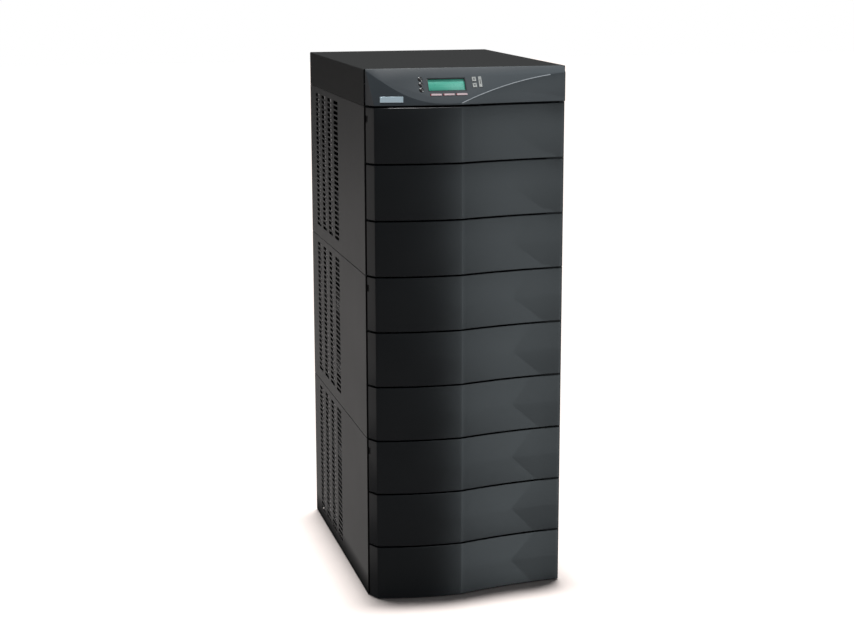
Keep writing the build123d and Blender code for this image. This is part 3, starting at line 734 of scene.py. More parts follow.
@dataclass(frozen=True)
class LiquidCrystal:
    """The green display: a soft gradient over faint rows of unlit cells.

    Attributes:
        name: The material's name.
        low: Where the gradient starts.
        high: Where it ends.
        columns: The pitch of the cells across, and a cell's width.
        rows: The pitch of the cells upwards, and a cell's height.
        span: The first and last X with cells.
    """

    name: str = "liquid_crystal"
    low: float = 1.229
    high: float = 1.263
    columns: tuple[float, float] = (0.0042, 0.0034)
    rows: tuple[float, float] = (0.0075, 0.0058)
    span: tuple[float, float] = (-0.088, 0.007)

    def material(self) -> bpy.types.Material:
        """Writes the shader tree.

        Returns:
            The finished material.
        """
        tree = Tree(self.name)
        across, up = tree.axis("X"), tree.axis("Z")
        cell_across = (across % self.columns[0]).below(self.columns[1])
        cells = cell_across * (up % self.rows[0]).below(self.rows[1])
        band = cells * (across.above(self.span[0]) * across.below(self.span[1]))
        fall = up.ramp(self.low, self.high)
        base = tree.blend(fall, (0.050, 0.285, 0.210), (0.058, 0.330, 0.245))
        base = tree.blend(band * 0.12, base, (0.03, 0.11, 0.085))
        tree.feed("Base Color", base)
        glow = tree.blend(fall, (0.06, 0.26, 0.18), (0.08, 0.33, 0.24))
        tree.feed("Emission Color", glow)
        tree.feed("Emission Strength", 0.12)
        tree.feed("Roughness", tree.noise(60.0).ramp(0.3, 0.8) * 0.06 + 0.26)
        return tree.material


@dataclass(frozen=True)
class SoftKeysWithPaintedShadow:
    """Pale silicone bars, each with a painted shadow, dark red, at its left end."""

    name: str = "soft_key_silicone"
    start: float = -0.0958
    pitch: float = 0.0308
    end: float = 0.0026

    def material(self) -> bpy.types.Material:
        """Writes the shader tree.

        Returns:
            The finished material.
        """
        tree = Tree(self.name)
        # painted shadow: a dark strip at the left end of each bar
        red = ((tree.axis("X") - self.start) % self.pitch).below(self.end)
        clouds = tree.noise(120.0, 3.0)
        pale = tree.blend(clouds, (0.40, 0.30, 0.32), (0.48, 0.37, 0.39))
        tree.feed("Base Color", tree.blend(red, pale, (0.16, 0.02, 0.03)))
        tree.feed("Roughness", clouds * 0.1 + 0.5)
        tree.bump(tree.noise(2500.0), 0.1, 0.0002)
        return tree.material


@dataclass(frozen=True)
class Laminate:
    """Green circuit laminate with copper tracks under the mask and pale pads."""

    name: str = "circuit_laminate"

    def material(self) -> bpy.types.Material:
        """Writes the shader tree.

        Returns:
            The finished material.
        """
        tree = Tree(self.name)
        tracks = tree.cells(140.0, "DISTANCE_TO_EDGE").below(0.05)
        pads = tree.cells(260.0).below(0.16)
        clouds = tree.noise(20.0, 3.0)
        mask = tree.blend(clouds, (0.012, 0.085, 0.03), (0.02, 0.13, 0.045))
        base = tree.blend(tracks * 0.7, mask, (0.05, 0.21, 0.07))
        tree.feed("Base Color", tree.blend(pads, base, (0.55, 0.54, 0.5)))
        tree.feed("Metallic", pads * 0.9)
        tree.feed("Roughness", clouds * 0.1 + pads * 0.1 + 0.28)
        tree.bump(tracks + pads, 0.2, 0.0002)
        return tree.material


@dataclass(frozen=True)
class Sleeved:
    """Capacitor sleeves: dark blue film with a pale stripe down one side."""

    name: str = "capacitor_sleeve"
    pitch: float = 0.056
    stripe: float = 0.008

    def material(self) -> bpy.types.Material:
        """Writes the shader tree.

        Returns:
            The finished material.
        """
        tree = Tree(self.name)
        stripe = (tree.axis("X") % self.pitch).below(self.stripe)
        clouds = tree.noise(70.0, 3.0)
        film = tree.blend(clouds, (0.01, 0.014, 0.05), (0.02, 0.028, 0.09))
        tree.feed("Base Color", tree.blend(stripe * 0.8, film, (0.35, 0.38, 0.42)))
        tree.feed("Roughness", clouds * 0.12 + 0.22)
        tree.bump(clouds, 0.08, 0.0006)
        return tree.material


class Finish(Enum):
    """Every finish of the cabinet."""

    SIDE = Coating(
        "side_paint",
        (0.034, 0.035, 0.0345),
        0.5,
        mottle=0.07,
        patch=7.0,
        dust=0.0,
        # painted shade: darker towards the floor
        painted_foot_shade=True,
        # painted shade: black at the front edge
        rim=RIM_Y,
    )
    REAR = Coating("rear_paint", (0.034, 0.034, 0.035), 0.48, mottle=0.08, patch=7.0)
    CAP = Coating(
        "cap_paint",
        (0.0140, 0.0150, 0.0145),
        0.66,
        mottle=0.08,
        patch=6.0,
        dust=0.0,
        specular=0.38,
        # painted shade: the top face is darker than the rest
        painted_top_shade=0.45,
        # painted shade: black at the front edge
        rim=RIM_Y,
    )
    BAND = Coating(
        "band_moulding",
        (0.0065, 0.0080, 0.0095),
        0.36,
        patch=5.0,
        grain_size=2200.0,
        specular=0.45,
        # painted shade: the level top faces are nearly black, as the gaps between the bands look
        painted_top_shade=0.05,
    )
    HEAD = Coating(
        "head_moulding", (0.0220, 0.0280, 0.0335), 0.42, mottle=0.06, patch=8.0, grain_size=2200.0
    )
    CARRIER = Coating("carrier_moulding", (0.006, 0.006, 0.0065), 0.6, mottle=0.2)
    SURROUND = Coating("display_surround", (0.007, 0.0075, 0.008), 0.35, mottle=0.15, patch=60.0)
    KEY = Coating("key_cap", (0.29, 0.30, 0.29), 0.45, mottle=0.08, patch=90.0, grain_size=3000.0)
    # painted highlight for the rounded edge under the sloping face, right of the crease
    EDGE = Coating("painted_edge_highlight", (0.27, 0.29, 0.31), 0.3, mottle=0.05, grain_size=2200.0)
    FOAM = Coating(
        "filter_foam",
        (0.010, 0.010, 0.011),
        0.92,
        mottle=0.3,
        patch=90.0,
        grain=0.6,
        grain_size=700.0,
        specular=0.2,
    )
    KEY_MARK = Coating("key_mark", (0.035, 0.035, 0.04), 0.5, patch=90.0, grain_size=3000.0)
    LENS = Coating(
        "status_lens", (0.012, 0.009, 0.009), 0.3, mottle=0.3, patch=200.0, grain=0.0, sheen=0.15
    )
    TRAY = Coating("tray_paint", (0.03, 0.03, 0.032), 0.45, mottle=0.12)
    CELL = Coating("battery_case", (0.05, 0.052, 0.055), 0.5, mottle=0.15, patch=22.0, dust=0.15)
    CELL_LID = Coating(
        "battery_lid", (0.028, 0.029, 0.031), 0.42, mottle=0.12, patch=30.0, dust=0.2
    )
    RED = Coating("red_boot", (0.32, 0.02, 0.015), 0.42, mottle=0.12, patch=60.0)
    BLACK_LEAD = Coating("black_lead", (0.012, 0.012, 0.013), 0.5, mottle=0.2, patch=60.0)
    FAN = Coating("fan_moulding", (0.013, 0.013, 0.014), 0.5, mottle=0.15, patch=40.0, dust=0.12)
    BREAKER = Coating("breaker_case", (0.016, 0.016, 0.017), 0.55, mottle=0.15, patch=40.0)
    LEVER = Coating("breaker_lever", (0.012, 0.012, 0.012), 0.3, mottle=0.2, patch=90.0)
    SINK = Brushed("extruded_aluminium", (0.58, 0.59, 0.6), along=(1.0, 0.02, 1.0), roughness=0.36)
    SCREW = Brushed("screw_steel", (0.16, 0.16, 0.165), along=(1.0, 1.0, 1.0), roughness=0.34)
    BADGE = Brushed("badge_plate", (0.46, 0.58, 0.65), roughness=0.34, metallic=0.35)
    FOOT = Coating("foot_rubber", (0.014, 0.014, 0.014), 0.7, mottle=0.25, patch=60.0, dust=0.2)
    FLOOR = Coating("floor", (0.92, 0.83, 0.79), 0.9, mottle=0.01, dust=0.0, grain=0.0)
    # with painted shade at the sides and the front
    ZINC = Zinc()
    # pale bars with a painted shadow at each left end
    SOFT_KEY = SoftKeysWithPaintedShadow()
    BOARD = Laminate()
    SLEEVE = Sleeved()
    LCD = LiquidCrystal()


@cache
def stock(finish: Finish) -> bpy.types.Material:
    """A finish's material, made the first time it is asked for."""
    return finish.value.material()


def paint(piece: Piece, *finishes: Finish) -> Piece:
    """Gives a new piece its finishes, in the order of its material slots.

    Args:
        piece: The piece.
        finishes: Its finishes.

    Returns:
        The same piece.
    """
    piece.data.materials.clear()
    for finish in finishes:
        piece.data.materials.append(stock(finish))
    return piece


def install(piece: Piece, body: str, slot: str, *nodes: str) -> None:
    """Hangs a finished piece on its body and hides the CAD nodes that it replaces.

    Args:
        piece: The piece.
        body: The body that it rides on.
        slot: The record's material slot. It is not used.
        nodes: The CAD nodes that it replaces.
    """
    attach(piece, body)
    if nodes:
        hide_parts(*nodes)
    LOG.info("%s rides on %s, %d faces", piece.name, body, len(piece.data.polygons))


# ------------------------------------------------------------------ front
def arc_through(ends: Line, steps: int) -> Line:
    """Points on the circle through three points, from the first to the last.

    Args:
        ends: Where the arc starts, a point that it passes, and where it ends.
        steps: How many pieces it is divided into.

    Returns:
        The points, both ends included.
    """
    (ax, ay), (bx, by), (cx, cy) = ends
    double = 2 * (ax * (by - cy) + bx * (cy - ay) + cx * (ay - by))
    a2, b2, c2 = ax**2 + ay**2, bx**2 + by**2, cx**2 + cy**2
    ux = (a2 * (by - cy) + b2 * (cy - ay) + c2 * (ay - by)) / double
    uy = (a2 * (cx - bx) + b2 * (ax - cx) + c2 * (bx - ax)) / double
    radius = math.hypot(ax - ux, ay - uy)
    start = math.atan2(ay - uy, ax - ux)
    sweep = (math.atan2(cy - uy, cx - ux) - start + math.pi) % (2 * math.pi) - math.pi
    turns = (start + sweep * n / steps for n in range(steps + 1))
    return [(ux + radius * math.cos(t), uy + radius * math.sin(t)) for t in turns]


@dataclass(frozen=True)
class WaveLine:
    """A plan line across the front: an arc to the crease and another beyond it.

    Points are (x, depth), with depth measured forwards from the side panels' front edge.
    """

    corner: tuple[float, float] = (-0.228, 0.034)
    left_middle: tuple[float, float] = (-0.125, 0.053)
    crease: tuple[float, float] = (-0.022, 0.055)
    right_middle: tuple[float, float] = (0.110, 0.0245)
    end: tuple[float, float] = (0.242, 0.010)

    def stations(self) -> Line:
        """The line's points, from the left corner to the right end."""
        left = arc_through([self.corner, self.left_middle, self.crease], 24)
        return left + arc_through([self.crease, self.right_middle, self.end], 28)[1:]


def pull_out(bar: Piece, flat: float, cuts: Line, line: Line, level: float | None = None) -> None:
    """Pulls the flat front of a sliced bar out to a line.

    Args:
        bar: The bar, in edit mode.
        flat: The Y of its flat front.
        cuts: The line at whose points it was sliced.
        line: The line that its points go to.
        level: The height of the points that move, or None for all.
    """
    for count, (x, depth) in enumerate(line):
        at = cuts[count][0] if count else -HALF_WIDTH

        def is_here(p: Vector, at: float = at) -> bool:
            """Whether a point is on the flat front at this cut."""
            on_level = level is None or abs(p.z - level) < NUDGE
            return abs(p.x - at) < NUDGE and p.y < flat + NUDGE and on_level

        Bench.pick_points(bar, is_here)
        bpy.ops.transform.translate(value=(x - at, FRONT_EDGE - depth - flat, 0.0))


@dataclass
class FrontCovers:
    """The nine moulded bands of the three front covers."""

    line: WaveLine = field(default_factory=WaveLine)
    back: float = 0.006
    rim: float = 0.0017
    crease_rim: float = 0.0009
    notch: tuple[float, float, float, float] = (-0.250, -0.232, 0.005, 0.012)
    latch_gap: float = 0.0005

    def wave_bar(self, name: str, low: float, high: float) -> Piece:
        """Models a bar between two heights whose front follows the wave.

        Args:
            name: The bar's name.
            low: Its underside.
            high: Its top.

        Returns:
            The bar, with sharp edges.
        """
        behind = FRONT_EDGE - self.back
        flat = behind - STOCK_DEPTH
        bar = Bench.box(name, (-HALF_WIDTH, flat, low), (HALF_WIDTH, behind, high))
        stations = self.line.stations()
        with Bench.editing(bar):
            for x, _ in stations[1:-1]:
                Bench.slice((x, 0, 0), (1, 0, 0))
            pull_out(bar, flat, stations, stations)
        return bar

    def round_rims(self, bar: Piece, low: float, high: float) -> None:
        """Rounds a bar's front rims, its upright ends and, less, its crease.

        Args:
            bar: The bar.
            low: Its underside.
            high: Its top.
        """
        behind = FRONT_EDGE - self.back - NUDGE
        ends = (self.line.corner[0], self.line.end[0])

        def is_rim(a: Vector, b: Vector) -> bool:
            """Whether an edge is on a rim or on an upright end.

            Args:
                a: One end.
                b: The other end.

            Returns:
                Whether it is.
            """
            if min(a.y, b.y) > behind:
                return False
            level = abs(a.z - b.z) < NUDGE and min(abs(a.z - low), abs(a.z - high)) < NUDGE
            across = abs(a.x - b.x) > NUDGE or abs(a.y - b.y) > NUDGE
            inner = max(a.y, b.y) > behind and -0.2 < a.x < 0.2
            upright = abs(a.x - b.x) < NUDGE and max(a.y, b.y) < behind
            at_end = min(abs(a.x - end) for end in ends) < NUDGE
            return (level and across and not inner) or (upright and not level and at_end)

        def is_crease(a: Vector, b: Vector) -> bool:
            """Whether an edge is the upright crease."""
            aside = max(abs(a.x - self.line.crease[0]), abs(b.x - self.line.crease[0]))
            return aside < NUDGE and abs(a.z - b.z) > 0.02 and max(a.y, b.y) < behind

        with Bench.editing(bar, "EDGE"):
            Bench.pick_edges(bar, is_rim)
            Bench.round_over(self.rim)
            bpy.ops.mesh.select_all(action="DESELECT")
            Bench.pick_edges(bar, is_crease)
            Bench.round_over(self.crease_rim, 2)

    def build(self) -> None:
        """Models one full band, copies it down the front, and models the shorter lowest band on its
        own.
        """
        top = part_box("upper_fascia_1")
        master = self.wave_bar("band_master", top[0][2], top[1][2])
        self.round_rims(master, top[0][2], top[1][2])
        for section in SECTIONS:
            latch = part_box(f"{section}_cover_latch")
            for number in (1, 2, 3):
                node = f"{section}_fascia_{number}"
                low, high = (corner[2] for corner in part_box(node))
                if high - low < top[1][2] - top[0][2] - 0.1 * MM:
                    band = self.wave_bar(f"{section}_band_{number}", low, high)
                    self.round_rims(band, low, high)
                else:
                    offset = (0.0, 0.0, high - top[1][2])
                    band = Bench.copy(master, f"{section}_band_{number}", offset)
                if number == 1:
                    x0, x1, near, far = self.notch
                    cutter = Bench.box(
                        "notch",
                        (x0, FRONT_EDGE - far, latch[0][2] - self.latch_gap),
                        (x1, FRONT_EDGE - near, latch[1][2] + self.latch_gap),
                    )
                    Bench.carve(band, cutter)
                Bench.smooth(band, 28.0)
                paint(band, Finish.BAND)
                install(band, f"{section}_cover", "fascia_plastic", node)
        bpy.data.objects.remove(master)


@dataclass
class Filters:
    """Pleated foam behind the air slots of the covers, the rear panels and the fans.

    near and far are how far in front of the panels' edge a strip's two sides are.
    """

    half_width: float = 0.206
    half_height: float = 0.014
    near: float = 0.0033
    far: float = 0.0007
    seal_half_width: float = 0.231
    seal_gap: float = 0.0004
    pleat: float = 0.0035
    fold: float = 0.0009
    rear_half_width: float = 0.185
    rear_margins: tuple[float, float] = (0.070, 0.040)
    rear_gap: float = 0.0045
    rear_thickness: float = 0.004
    rear_pleat: float = 0.007

    def sheet(self, low: Point, high: Point, pleat: float) -> Piece:
        """Models a foam sheet with level pleats on its front.

        Args:
            low: Its lowest corner.
            high: Its highest corner.
            pleat: The height of half a pleat.

        Returns:
            The sheet.
        """
        foam = Bench.box("foam", low, high)
        levels = [low[2] + pleat * n for n in range(1, int((high[2] - low[2]) / pleat))]
        with Bench.editing(foam):
            for level in levels:
                Bench.slice((0, 0, level), UP)
            for level in levels[::2]:
                Bench.pick_points(
                    foam, lambda p, z=level: abs(p.z - z) < NUDGE and p.y < low[1] + NUDGE
                )
                bpy.ops.transform.translate(value=(0.0, self.fold, 0.0))
        return Bench.smooth(paint(Bench.ease(foam, 0.3 * MM, 1, 20.0), Finish.FOAM), 25.0)

    def build_cover_strips(self, section: str) -> None:
        """Models the strips behind a cover's air slots, and one under the head.

        Args:
            section: The cover's section.
        """
        front, back = FRONT_EDGE - self.near, FRONT_EDGE - self.far
        strips = []
        if section == SECTIONS[2]:
            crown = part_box("control_bezel")[0][2] - self.seal_gap
            low = (-self.seal_half_width, front, crown - self.half_height)
            high = (self.seal_half_width, back, crown)
            strips.append(self.sheet(low, high, self.pleat))
        for number in (1, 2):
            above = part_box(f"{section}_fascia_{number}")[0][2]
            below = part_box(f"{section}_fascia_{number + 1}")[1][2]
            gap = (above + below) / 2
            low = (-self.half_width, front, gap - self.half_height)
            high = (self.half_width, back, gap + self.half_height)
            strips.append(self.sheet(low, high, self.pleat))
        strip = Bench.join(f"{section}_cover_filter", strips)
        install(strip, f"{section}_cover", "carrier_plastic")

    def build_rear_sheet(self, name: str, low: Point, high: Point, back: float) -> None:
        """Models a sheet on the inner side of the rear panels or the fans.

        Args:
            name: Its name.
            low: Its lowest corner. Its Y isn't used.
            high: Its highest corner. Its Y isn't used.
            back: The Y of what it lies behind.
        """
        rear = back - self.rear_gap
        front = rear - self.rear_thickness
        foam = self.sheet((low[0], front, low[2]), (high[0], rear, high[2]), self.rear_pleat)
        foam.name = foam.data.name = name
        install(foam, "cabinet", "fan_plastic")

    def build(self) -> None:
        """Models every filter."""
        for section in SECTIONS:
            self.build_cover_strips(section)
        for section in SECTIONS[:2]:
            low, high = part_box(f"{section}_rear_panel")
            self.build_rear_sheet(
                f"{section}_rear_filter",
                (-self.rear_half_width, 0.0, low[2] + self.rear_margins[0]),
                (self.rear_half_width, 0.0, high[2] - self.rear_margins[1]),
                high[1],
            )
        low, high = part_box("fan_frames")
        self.build_rear_sheet("fan_filter", low, high, low[1])


# ------------------------------------------------------------------ control head
@dataclass(frozen=True)
class ControlFace:
    """The flat sloping face of the head, and places on it."""

    top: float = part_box("top_cover")[1][2]
    edge: float = FRONT_EDGE - 0.003
    lean: float = math.atan2(82.0, 52.0)

    @property
    def turn(self) -> Point:
        """The turn that lays a flat piece on the face."""
        return (self.lean, 0.0, 0.0)

    @property
    def normal(self) -> Point:
        """The face's outward normal."""
        return (0.0, -math.sin(self.lean), math.cos(self.lean))

    def spot(self, x: float, drop: float, lift: float = 0.0) -> Point:
        """A place on the face.

        Args:
            x: Across the front.
            drop: Down the slope from its top edge.
            lift: Out of the face.

        Returns:
            The place in the row frame.
        """
        across, up = math.cos(self.lean), math.sin(self.lean)
        return (x, self.edge - drop * across - lift * up, self.top - drop * up + lift * across)

    def height(self, point: Vector) -> float:
        """How far a point stands out of the face."""
        return (point - Vector(self.spot(0.0, 0.0))).dot(Vector(self.normal))

    def matches(self, _: Vector, normal: Vector) -> bool:
        """Whether a face of a piece, given its middle and normal, looks the same way."""
        return normal.dot(Vector(self.normal)) > 0.9


@dataclass
class ControlHead:
    """The moulded head with its display, lamps, keys and blank badge."""

    face: ControlFace = field(default_factory=ControlFace)
    foot_line: WaveLine = field(
        default_factory=lambda: WaveLine(
            left_middle=(-0.125, 0.051),
            crease=(-0.022, 0.053),
            right_middle=(0.110, 0.0265),
            end=(0.242, 0.013),
        )
    )
    top_line: WaveLine = field(
        default_factory=lambda: WaveLine(
            corner=(-0.2418, 0.004),
            left_middle=(-0.1319, 0.029),
            crease=(-0.022, 0.053),
            right_middle=(0.110, 0.0265),
            end=(0.242, 0.013),
        )
    )
    display: tuple[float, float, float, float] = (-0.0529, 0.0442, 0.0920, 0.0340)
    lamps: tuple[tuple[float, float], ...] = ((-0.115, 0.0294), (-0.115, 0.0434), (-0.115, 0.0576))
    lamp_radius: float = 0.0046
    ring_wire: tuple[float, float] = (0.0006, 0.0007)
    dome_steps: tuple[tuple[float, float], ...] = ((0.0012, 0.0004), (0.0015, 0.0002))
    frame_rim: float = 0.0018
    panel_depth: float = 0.0040
    face_rim: float = 0.0010
    foot_rim: float = 0.0012

    def build_head(self) -> Piece:
        """Models the head's shell: a ruled wave cut by the sloping face.

        Returns:
            The head, with its openings cut.
        """
        low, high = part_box("control_bezel")[0][2], self.face.top
        flat = FRONT_EDGE - STOCK_DEPTH
        head = Bench.box("control_head", (-HALF_WIDTH, flat, low), (HALF_WIDTH, FRONT_EDGE, high))
        foot, crown = self.foot_line.stations(), self.top_line.stations()
        with Bench.editing(head):
            for x, _ in foot[1:-1]:
                Bench.slice((x, 0, 0), (1, 0, 0))
            pull_out(head, flat, foot, foot, low)
            pull_out(head, flat, foot, crown, high)
            Bench.slice(self.face.spot(0.0, 0.0), self.face.normal, cap=True)

        def on_face(a: Vector, b: Vector) -> bool:
            """Whether an edge lies on the sloping face."""
            return max(abs(self.face.height(a)), abs(self.face.height(b))) < NUDGE

        def on_foot(a: Vector, b: Vector) -> bool:
            """Whether an edge is on the front of the underside."""
            level = max(abs(a.z - low), abs(b.z - low)) < NUDGE
            return level and max(a.y, b.y) < FRONT_EDGE - NUDGE

        with Bench.editing(head, "EDGE"):
            Bench.pick_edges(head, on_face)
            Bench.round_over(self.face_rim, 2)
            bpy.ops.mesh.select_all(action="DESELECT")
            Bench.pick_edges(head, on_foot)
            Bench.round_over(self.foot_rim, 2)
        return head

    def paint_edge_highlight(self, head: Piece) -> None:
        """Paints a highlight onto the rounded edge under the sloping face, right of the crease,
        with a pale finish of its own.

        Args:
            head: The head.
        """
        crease, low = self.foot_line.crease[0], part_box("control_bezel")[0][2]

        def is_edge(middle: Vector, normal: Vector) -> bool:
            """Whether a face lies on the rounded edge right of the crease.

            Args:
                middle: The face's middle.
                normal: Its normal.

            Returns:
                Whether it does.
            """
            close = abs(self.face.height(middle)) < 1.2 * MM
            level = normal.dot(Vector(self.face.normal)) > 0.999
            across = crease < middle.x < 0.200 and middle.y < FRONT_EDGE - 4 * MM
            inside = low + 3 * MM < middle.z < self.face.top - 4 * MM
            return close and across and inside and not level

        with Bench.editing(head, "FACE"):
            Bench.pick_faces(head, is_edge)
            head.active_material_index = 1
            bpy.ops.object.material_slot_assign()

    def cut_openings(self, head: Piece) -> None:
        """Cuts the display's window, the lamp holes and the key holes into the head.

        Args:
            head: The head.
        """
        x, drop, width, height = self.display
        openings = [(x, drop, width + 0.4 * MM, height + 0.4 * MM, 12 * MM)]
        for key in Keypad().keys:
            openings.append(
                (key.x, key.drop, key.width + 0.6 * MM, key.height + 0.6 * MM, 14 * MM)
            )
        cuts = [
            Bench.slab("cut", self.face.spot(x, drop), size, self.face.turn)
            for x, drop, *size in openings
        ]
        radius = self.lamp_radius + 0.1 * MM
        for lamp in self.lamps:
            cuts.append(Bench.rod("cut", self.face.spot(*lamp), radius, 12 * MM, self.face.turn))
        Bench.carve(head, Bench.join("cuts", cuts))

    def build_display(self) -> None:
        """Models the display's dark frame and the green panel set back inside it."""
        x, drop, width, height = self.display
        rim, sink = self.frame_rim, self.panel_depth
        size = (width, height, 4.8 * MM)
        middle = self.face.spot(x, drop, -3 * MM)
        surround = Bench.slab("display_frame", middle, size, self.face.turn)
        with Bench.editing(surround, "FACE"):
            Bench.pick_faces(surround, self.face.matches)
            bpy.ops.mesh.inset(thickness=rim)
            bpy.ops.mesh.extrude_region_move(
                TRANSFORM_OT_translate={"value": tuple(-sink * n for n in self.face.normal)}
            )
        Bench.ease(surround, 0.3 * MM)
        paint(Bench.smooth(surround), Finish.SURROUND)
        install(surround, "cabinet", "display_glass", "display_module")
        size = (width - 2 * rim - 0.1 * MM, height - 2 * rim - 0.1 * MM, 0.6 * MM)
        middle = self.face.spot(x, drop, -sink - 0.4 * MM)
        panel = Bench.slab("display_panel", middle, size, self.face.turn)
        Bench.ease(panel, 0.1 * MM)
        paint(Bench.smooth(panel), Finish.LCD)
        install(panel, "cabinet", "display_glass")

    def build_lamps(self) -> None:
        """Models the three status lamps, each a low dome in a printed ring."""
        domes, rings = [], []
        radii = (self.lamp_radius + self.ring_wire[0], self.ring_wire[1])
        for x, drop in self.lamps:
            middle = self.face.spot(x, drop, -1.2 * MM)
            dome = Bench.rod("lamp", middle, self.lamp_radius, 3.2 * MM, self.face.turn, 40)
            with Bench.editing(dome, "FACE"):
                Bench.pick_faces(dome, self.face.matches)
                Bench.step_in(self.face.normal, *self.dome_steps)
            domes.append(Bench.ease(dome, 0.2 * MM))
            rings.append(Bench.ring("ring", self.face.spot(x, drop), radii, self.face.turn))
        lamps = Bench.join("status_lamps", domes)
        paint(Bench.smooth(lamps), Finish.LENS)
        install(lamps, "cabinet", "lens_plastic", "status_lenses")
        prints = Bench.join("lamp_rings", rings)
        paint(Bench.smooth(prints), Finish.SURROUND)
        install(prints, "cabinet", "lens_plastic")

    def build(self) -> None:
        """Models and dresses the whole head."""
        head = self.build_head()
        # the second finish is a painted highlight on the rounded edge right of the crease
        paint(head, Finish.HEAD, Finish.EDGE)
        self.paint_edge_highlight(head)
        self.cut_openings(head)
        Bench.smooth(head, 24.0)
        install(head, "cabinet", "bezel_plastic", "control_bezel")
        self.build_display()
        self.build_lamps()


class Mark(Enum):
    """The small raised marks on the keys."""

    NONE = "none"
    UP = "up"
    DOWN = "down"
    BAR = "bar"


@dataclass(frozen=True)
class Key:
    """One key: its node, its place on the sloping face, its size and its mark."""

    node: str
    x: float
    drop: float
    width: float
    height: float
    mark: Mark = Mark.NONE


@dataclass
class Keypad:
    """The six keys under and beside the display."""

    face: ControlFace = field(default_factory=ControlFace)
    keys: tuple[Key, ...] = (
        Key("soft_key_left", -0.0822, 0.0708, 0.0272, 0.0046),
        Key("soft_key_middle", -0.0514, 0.0708, 0.0272, 0.0046),
        Key("soft_key_right", -0.0206, 0.0708, 0.0272, 0.0046),
        Key("up_key", 0.0142, 0.0320, 0.0096, 0.0108, Mark.UP),
        Key("down_key", 0.0142, 0.0479, 0.0096, 0.0108, Mark.DOWN),
        Key("enter_key", 0.0284, 0.0393, 0.0076, 0.0274, Mark.BAR),
    )
    stand: float = 0.0015
    depth: float = 0.0048
    dish: tuple[float, float] = (0.0007, -0.00025)
    mark_lift: float = 0.0001
    mark_depth: float = 0.0004
    arrow_radius: float = 0.0026
    bar_size: tuple[float, float] = (0.0016, 0.0120)

    def mark_piece(self, key: Key) -> Piece | None:
        """Models the raised mark of a key.

        Args:
            key: The key.

        Returns:
            The mark, or None where the key has none.
        """
        place = self.face.spot(key.x, key.drop, self.stand + self.mark_lift)
        if key.mark is Mark.BAR:
            return Bench.slab("mark", place, (*self.bar_size, self.mark_depth), self.face.turn)
        if key.mark is Mark.NONE:
            return None
        roll = (0.0, 0.0, 0.0 if key.mark is Mark.UP else math.pi)
        mark = Bench.rod("mark", place, self.arrow_radius, self.mark_depth, roll, 3)
        shift = Matrix.Translation(place)
        mark.data.transform(shift @ Matrix.Rotation(self.face.lean, 4, "X") @ shift.inverted())
        return mark

    def build(self) -> None:
        """Models every key and hangs it on its own body."""
        for key in self.keys:
            depth = self.depth + self.stand
            middle = self.face.spot(key.x, key.drop, self.stand - depth / 2)
            size = (key.width, key.height, depth)
            cap = Bench.slab(f"{key.node}_cap", middle, size, self.face.turn)
            with Bench.editing(cap, "FACE"):
                Bench.pick_faces(cap, self.face.matches)
                Bench.step_in(self.face.normal, self.dish)
            Bench.smooth(Bench.ease(cap, 0.4 * MM, 3))
            soft = key.mark is Mark.NONE
            paint(cap, Finish.SOFT_KEY if soft else Finish.KEY)
            mark = self.mark_piece(key)
            if mark is not None:
                paint(mark, Finish.KEY_MARK)
                cap = Bench.join(cap.name, [cap, mark])
            install(cap, key.node, "soft_key_rubber" if soft else "key_plastic", key.node)


